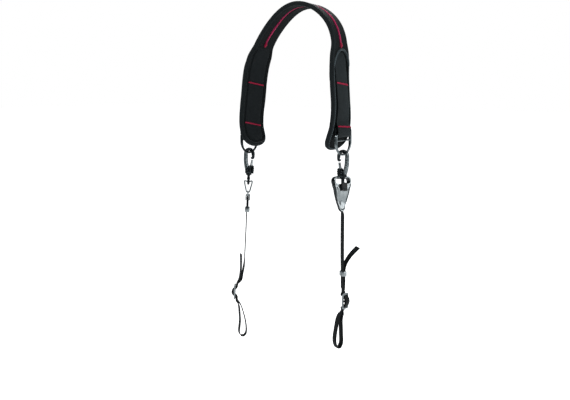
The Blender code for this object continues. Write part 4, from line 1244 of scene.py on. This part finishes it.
def snap_hook(name):
    """The cast body: bend, notched shank, fork for the gate and turned collar."""
    place = hook_frame(name)
    line = [*HOOK_TIP, *arc((0, 0), HOOK_BEND, 12, 168, 15), *HOOK_SHANK]
    line = even(smooth(line, 6), 0.35)
    run = lengths(line)
    widths = between(run, (*HOOK_WIDTHS, (run[-1], HOOK_END[0])))
    depths = between(run, (*HOOK_DEPTHS, (run[-1], HOOK_END[1])))
    outline = np.array([rounded_box(d, w, ROUND * min(d, w), 5) for d, w in zip(depths, widths)])
    outer_rear = (outline[..., 1] < 0) & (outline[..., 0] > 0)
    for height in NOTCHES:
        near = dent(line[:, 1] - height, NOTCH_HALF) * (line[:, 0] < 0)
        outline[..., 1] += np.where(outer_rear, NOTCH_DEPTH * near[:, None], 0)
    spine = rod(f"{name}_spine", line, outline, place, BLACK_NICKEL_AND_SHADE, "arch")
    # The shank's outer part is painted grey as a reflection.
    grey = (line[:-1, 0] < SHANK_REFLECTION_LIMITS[0]) & (line[:-1, 1] < SHANK_REFLECTION_LIMITS[1])
    repaint(spine, GREY_NICKEL_AND_REFLECTION, np.repeat(grey[:, None], outline.shape[1], axis=1))
    cheek = [*CHEEK_REAR, *arc(PIVOT, HUB_RADIUS, 165, -20, 12), *CHEEK_FRONT]
    look = (place, BLACK_NICKEL_AND_SHADE, "arch")
    cheeks = [
        plate(f"{name}_cheek", cheek, CHEEK_THICK, CHEEK_EDGE, *look, y) for y in (-CHEEK_AT, CHEEK_AT)
    ]
    pin = turned(f"{name}_pin", PIN, *look, (PIVOT[0], 0, PIVOT[1]), True, 20)
    collar = turned(f"{name}_collar", COLLAR, *look)
    one(f"snap_hook_{name}", [spine, *cheeks, pin, collar], f"hook_{name}")


def gate(name):
    """The sprung gate, a bright channel, and its dark thumb lever."""
    place, body = hook_frame(name), f"gate_{name}"
    line = even(smooth(GATE_LINE, 8), 0.3)
    depths = GATE_DEPTH - GATE_TAPER * np.linspace(0, 1, len(line))
    outline = np.array([rounded_box(GATE_WIDTH, depth, GATE_CORNER) for depth in depths])
    blade = rod(f"gate_blade_{name}", line, outline, place, CHROME, body)
    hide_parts(f"gate_{name}")
    thumb = [*arc(PIVOT, LEVER_RADIUS, 100, 285, 12), *THUMB]
    look = (place, BLACK_NICKEL_AND_SHADE, body)
    lever = plate(f"gate_lever_{name}", thumb, LEVER_THICK, LEVER_EDGE, *look)
    applied(lever)


def eye_swivel():
    """A turned stem with a cast eye under it."""
    place, body = hang_frame("left"), "drop_left"
    stem = turned("stem", EYE_STEM, place, BLACK_NICKEL_AND_SHADE, body)
    circle = [(0, y, z) for y, z in arc((0, -EYE_DROP), EYE_RADIUS, 0, 360, 41)[:-1]]
    outline = circles(np.full(len(circle), EYE_WIRE)) * MM
    path = placed(circle, place)
    eye = sweep("eye", path, place[:3, 0], outline, BLACK_NICKEL_AND_SHADE, body, loop=True)
    one("swivel_eye_left", [stem, eye], "swivel_left")


def wire_link():
    """A kite of wire between the swivel's eye and the clamp's eye."""
    line = closed(mirrored(LINK_HALF), 0.3, 6)
    outline = circles(np.full(len(line), LINK_WIRE))
    obj = rod("wire_link", line, outline, hang_frame("left"), GREY_NICKEL_AND_REFLECTION, "drop_left", True)
    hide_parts("link_left")


def clip():
    """A pear-shaped cast clip: a looped top, and a dished face with a raised rim down to the tip."""
    place, body = clip_frame(), "drop_right"
    line = closed(mirrored(CLIP_LOOP), 0.5, 8)
    outline = rounded_box(CLIP_DEPTH, CLIP_WIRE, CLIP_CORNER, CLIP_SIDES // 4)
    outline = np.broadcast_to(outline, (len(line), CLIP_SIDES, 2))
    loop = rod("loop", line, outline, place, BRIGHT_NICKEL, body, True)
    # The loop's broad faces are painted black as a dark reflection.
    bands = np.isin(np.arange(CLIP_SIDES), CLIP_REFLECTION_BANDS)
    repaint(loop, BLACK_NICKEL_AND_SHADE, np.repeat(bands[None], len(line), axis=0))
    half = smooth(CLIP_PLATE, 5)
    edge = closed(np.concatenate([CLIP_TOP[1:], half, half[::-1] * (-1, 1), CLIP_TOP[:1]]), 0.7)
    middle = np.array([0.0, CLIP_MIDDLE])
    front = CLIP_DEPTH / 2
    rows = []
    for share, lift in CLIP_FACE:
        points = upright(middle + (edge - middle) * share)
        thin = CLIP_THIN * ease((CLIP_THIN_FROM - points[:, 2]) / CLIP_THIN_OVER)
        points[:, 1] = np.minimum(-front - lift + thin, front - CLIP_LEAST)
        rows.append(placed(points, place))
    face = skin("face", rows, BRIGHT_NICKEL, body)
    # The groove is painted black as shade, and the outer wall as a dark reflection.
    dark = np.isin(np.arange(len(rows) - 1), CLIP_SHADED_ROWS)
    repaint(face, BLACK_NICKEL_AND_SHADE, np.repeat(dark[:, None], len(edge), axis=1))
    one("pear_clip", [loop, face], "clip_right")


def foot_swivel():
    """A turned stem into a moulded black block, riveted through the clip."""
    lean, body = clip_frame(), "drop_right"
    stem = turned("stem", FOOT_STEM, hang_frame("right"), BLACK_NICKEL_AND_SHADE, body)
    front = CLIP_DEPTH / 2 + FOOT_GAP
    height = CLIP_TALL - STUD_DROP
    rivet = turned("rivet", RIVET, lean, BRIGHT_NICKEL, body, (0, front, height), True)
    one("swivel_stem_right", [stem, rivet], "swivel_right")
    wide, thick, tall = FOOT[0] / 2, FOOT[1], FOOT[2] / 2
    top, foot = CLIP_TALL - FOOT_DROP + tall, CLIP_TALL - FOOT_DROP - tall
    outline = arc((0, top - FOOT_CROWN), (wide, FOOT_CROWN), 0, 180, 13)
    outline += [(-wide, foot), (wide, foot)]
    block = plate("foot", outline, thick, FOOT_EDGE, lean, BLOCK, body, -front - thick / 2)
    at = (0, -front - thick, height)
    screw = turned("foot_screw", SCREW, lean, BLACK_NICKEL_AND_SHADE, body, at, True, 24)
    one("swivel_foot_right", [block, screw], None)


def soft_edged(name, mat, width):
    """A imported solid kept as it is, its edges rounded, in its finish."""
    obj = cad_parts[name]
    obj.data.materials.clear()
    obj.data.materials.append(mat)
    round_edges(obj, width)


def keeper(name):
    """A band of folded strip round both layers of the narrow webbing."""
    place = hang_frame(name)
    wide, deep, tall = KEEPER
    around = rounded_box(wide - KEEPER_THICK, deep - KEEPER_THICK, KEEPER_CORNER, 6)
    points = np.column_stack([around, np.zeros(len(around))]) + KEEPER_AT[name]
    path, outline = placed(points, place), rounded_box(tall, KEEPER_THICK, KEEPER_EDGE) * MM
    look = (BRIGHT_NICKEL, f"drop_{name}")
    obj = sweep(f"keeper_band_{name}", path, place[:3, 2], outline, *look, loop=True)
    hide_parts(f"keeper_{name}")


def slider(name):
    """A stamped frame with a bar across its middle, turned with the webbing in it."""
    across, middle = SLIDERS[name][:2]
    turn = Matrix.Rotation(math.radians(SLIDER_TURN[name]), 4, "Z")
    place = hang_frame(name) @ np.array(Matrix.Translation((across * MM, 0, middle * MM)) @ turn)
    y, z = (SLIDER_WIDTH - SLIDER_SIDE) / 2, (SLIDER_HEIGHT - SLIDER_BAR) / 2
    around = closed(rounded_box(2 * y, 2 * z, SLIDER_CORNER), 0.4)
    path = placed(np.column_stack([np.zeros(len(around)), around]), place)
    on_side = np.abs(around[:, 0]) > y - SLIDER_CORNER / 2
    wires = np.where(on_side, SLIDER_SIDE, SLIDER_BAR)
    outline = np.array([rounded_box(SLIDER_THICK, wire, SLIDER_EDGE) for wire in wires]) * MM
    look = (SATIN_NICKEL, f"drop_{name}")
    rim = sweep("rim", path, place[:3, 0], outline, *look, loop=True)
    path = placed([(0, -y, 0), (0, 0, 0), (0, y, 0)], place)
    outline = rounded_box(SLIDER_THICK, SLIDER_BAR, SLIDER_EDGE) * MM
    bar = sweep("bar", path, place[:3, 0], outline, *look)
    one(f"slider_frame_{name}", [rim, bar], f"slider_{name}")


def hardware():
    for name in SIDES:
        ring(name)
        snap_hook(name)
        gate(name)
        keeper(name)
        slider(name)
    eye_swivel()
    wire_link()
    soft_edged("clamp_left", SATIN_NICKEL, CLAMP_EDGE)
    clip()
    foot_swivel()


# --- studio


def facing(way):
    """The turn of a camera or light that looks that way."""
    return Vector(way).to_track_quat("-Z", "Y").to_euler()


def camera():
    data = bpy.data.cameras.new("camera")
    data.lens = CAMERA_LENS
    data.sensor_width = 36
    data.clip_start, data.clip_end = 0.05, 30
    obj = shown("camera", data)
    turn, drop = math.radians(CAMERA_TURN), math.radians(CAMERA_DROP)
    level = math.cos(drop)
    look = (-math.sin(turn) * level, math.cos(turn) * level, -math.sin(drop))
    obj.location = CAMERA_AT
    obj.rotation_euler = facing(look)
    bpy.context.scene.camera = obj


def light(name, place, size, power):
    data = bpy.data.lights.new(name, "AREA")
    data.shape = "RECTANGLE"
    data.size, data.size_y = size
    data.energy = power
    obj = shown(name, data)
    obj.location = place
    obj.rotation_euler = facing(Vector(LIGHT_AIM) - Vector(place))


def surround():
    """A dark floor and a bright ceiling in reflections, plain white to the camera."""
    world = bpy.data.worlds.new("studio")
    bpy.context.scene.world = world
    world.use_nodes = True
    place = node(world, "TexCoord")
    height = node(world, "SeparateXYZ", {0: place.outputs["Generated"]})
    share = node(world, "MapRange", {"Value": height.outputs["Z"], "From Max": 0.9})
    tones = {6: linear("#0e1011"), 7: linear("#8c9294")}
    reflected = node(world, "Mix", {0: share, **tones}, data_type="RGBA")
    seen = node(world, "LightPath").outputs["Is Camera Ray"]
    tones = {6: reflected.outputs[2], 7: linear("#ffffff")}
    colour = node(world, "Mix", {0: seen, **tones}, data_type="RGBA")
    shade = world.node_tree.nodes["Background"]
    wire(world, shade, {"Color": colour.outputs[2]})
    shade.inputs["Strength"].default_value = 1.0


def ground():
    """A pale floor that runs out of sight."""
    mesh = bpy.data.meshes.new("floor")
    corners = ((-1, -1), (1, -1), (1, 1), (-1, 1))
    corners = [(x * FLOOR_REACH, y * FLOOR_REACH, FLOOR_LEVEL) for x, y in corners]
    mesh.from_pydata(corners, [], [(0, 1, 2, 3)])
    # Matt white paint, rolled: an even pale ground.
    paint, shader = material("Matt white paint", 0.9, Emission_Color=linear("#ffffff"))
    seen = node(paint, "LightPath").outputs["Is Camera Ray"]
    grain = node(paint, "TexNoise", {"Scale": 40.0, "Detail": 2.0})
    tones = {6: linear("#fafafa"), 7: linear("#ffffff")}
    tone = node(paint, "Mix", {0: grain, **tones}, data_type="RGBA")
    wire(paint, shader, {"Emission Strength": seen, "Base Color": tone.outputs[2]})
    mesh.materials.append(paint)
    shown("floor", mesh)


def studio():
    """A pale floor, a bright surround and three soft boxes."""
    surround()
    ground()
    light("key_box", (1.5, 0.15, 0.3), (1.7, 1.5), 10)
    light("side_box", (-0.7, -1.5, 0.9), (0.8, 0.5), 9)
    light("back_box", (-0.5, 1.3, 0.9), (1.0, 0.5), 9)
    bpy.context.scene.view_settings.view_transform = "Standard"


def build():
    camera()
    studio()
    shoulder_pad()
    edge_binding()
    piping("piping_outer", 1)
    piping("piping_inner", -1)
    for name, (side, *_) in SIDES.items():
        mouth_binding(f"mouth_binding_{name}", side)
        edge_cords(name)
        tab(name)
        bar_tacks(name)
    left_loop = (LEFT_DOWN, LEFT_UP)
    strap("left", fold(*LEFT_FOLD), LEFT_START, SLIDERS["left"], left_loop, LEFT_TAIL, 1)
    strap("right", [], RIGHT_START, SLIDERS["right"], (RIGHT_DOWN, RIGHT_UP), RIGHT_TAIL, -1)
    hardware()


build()
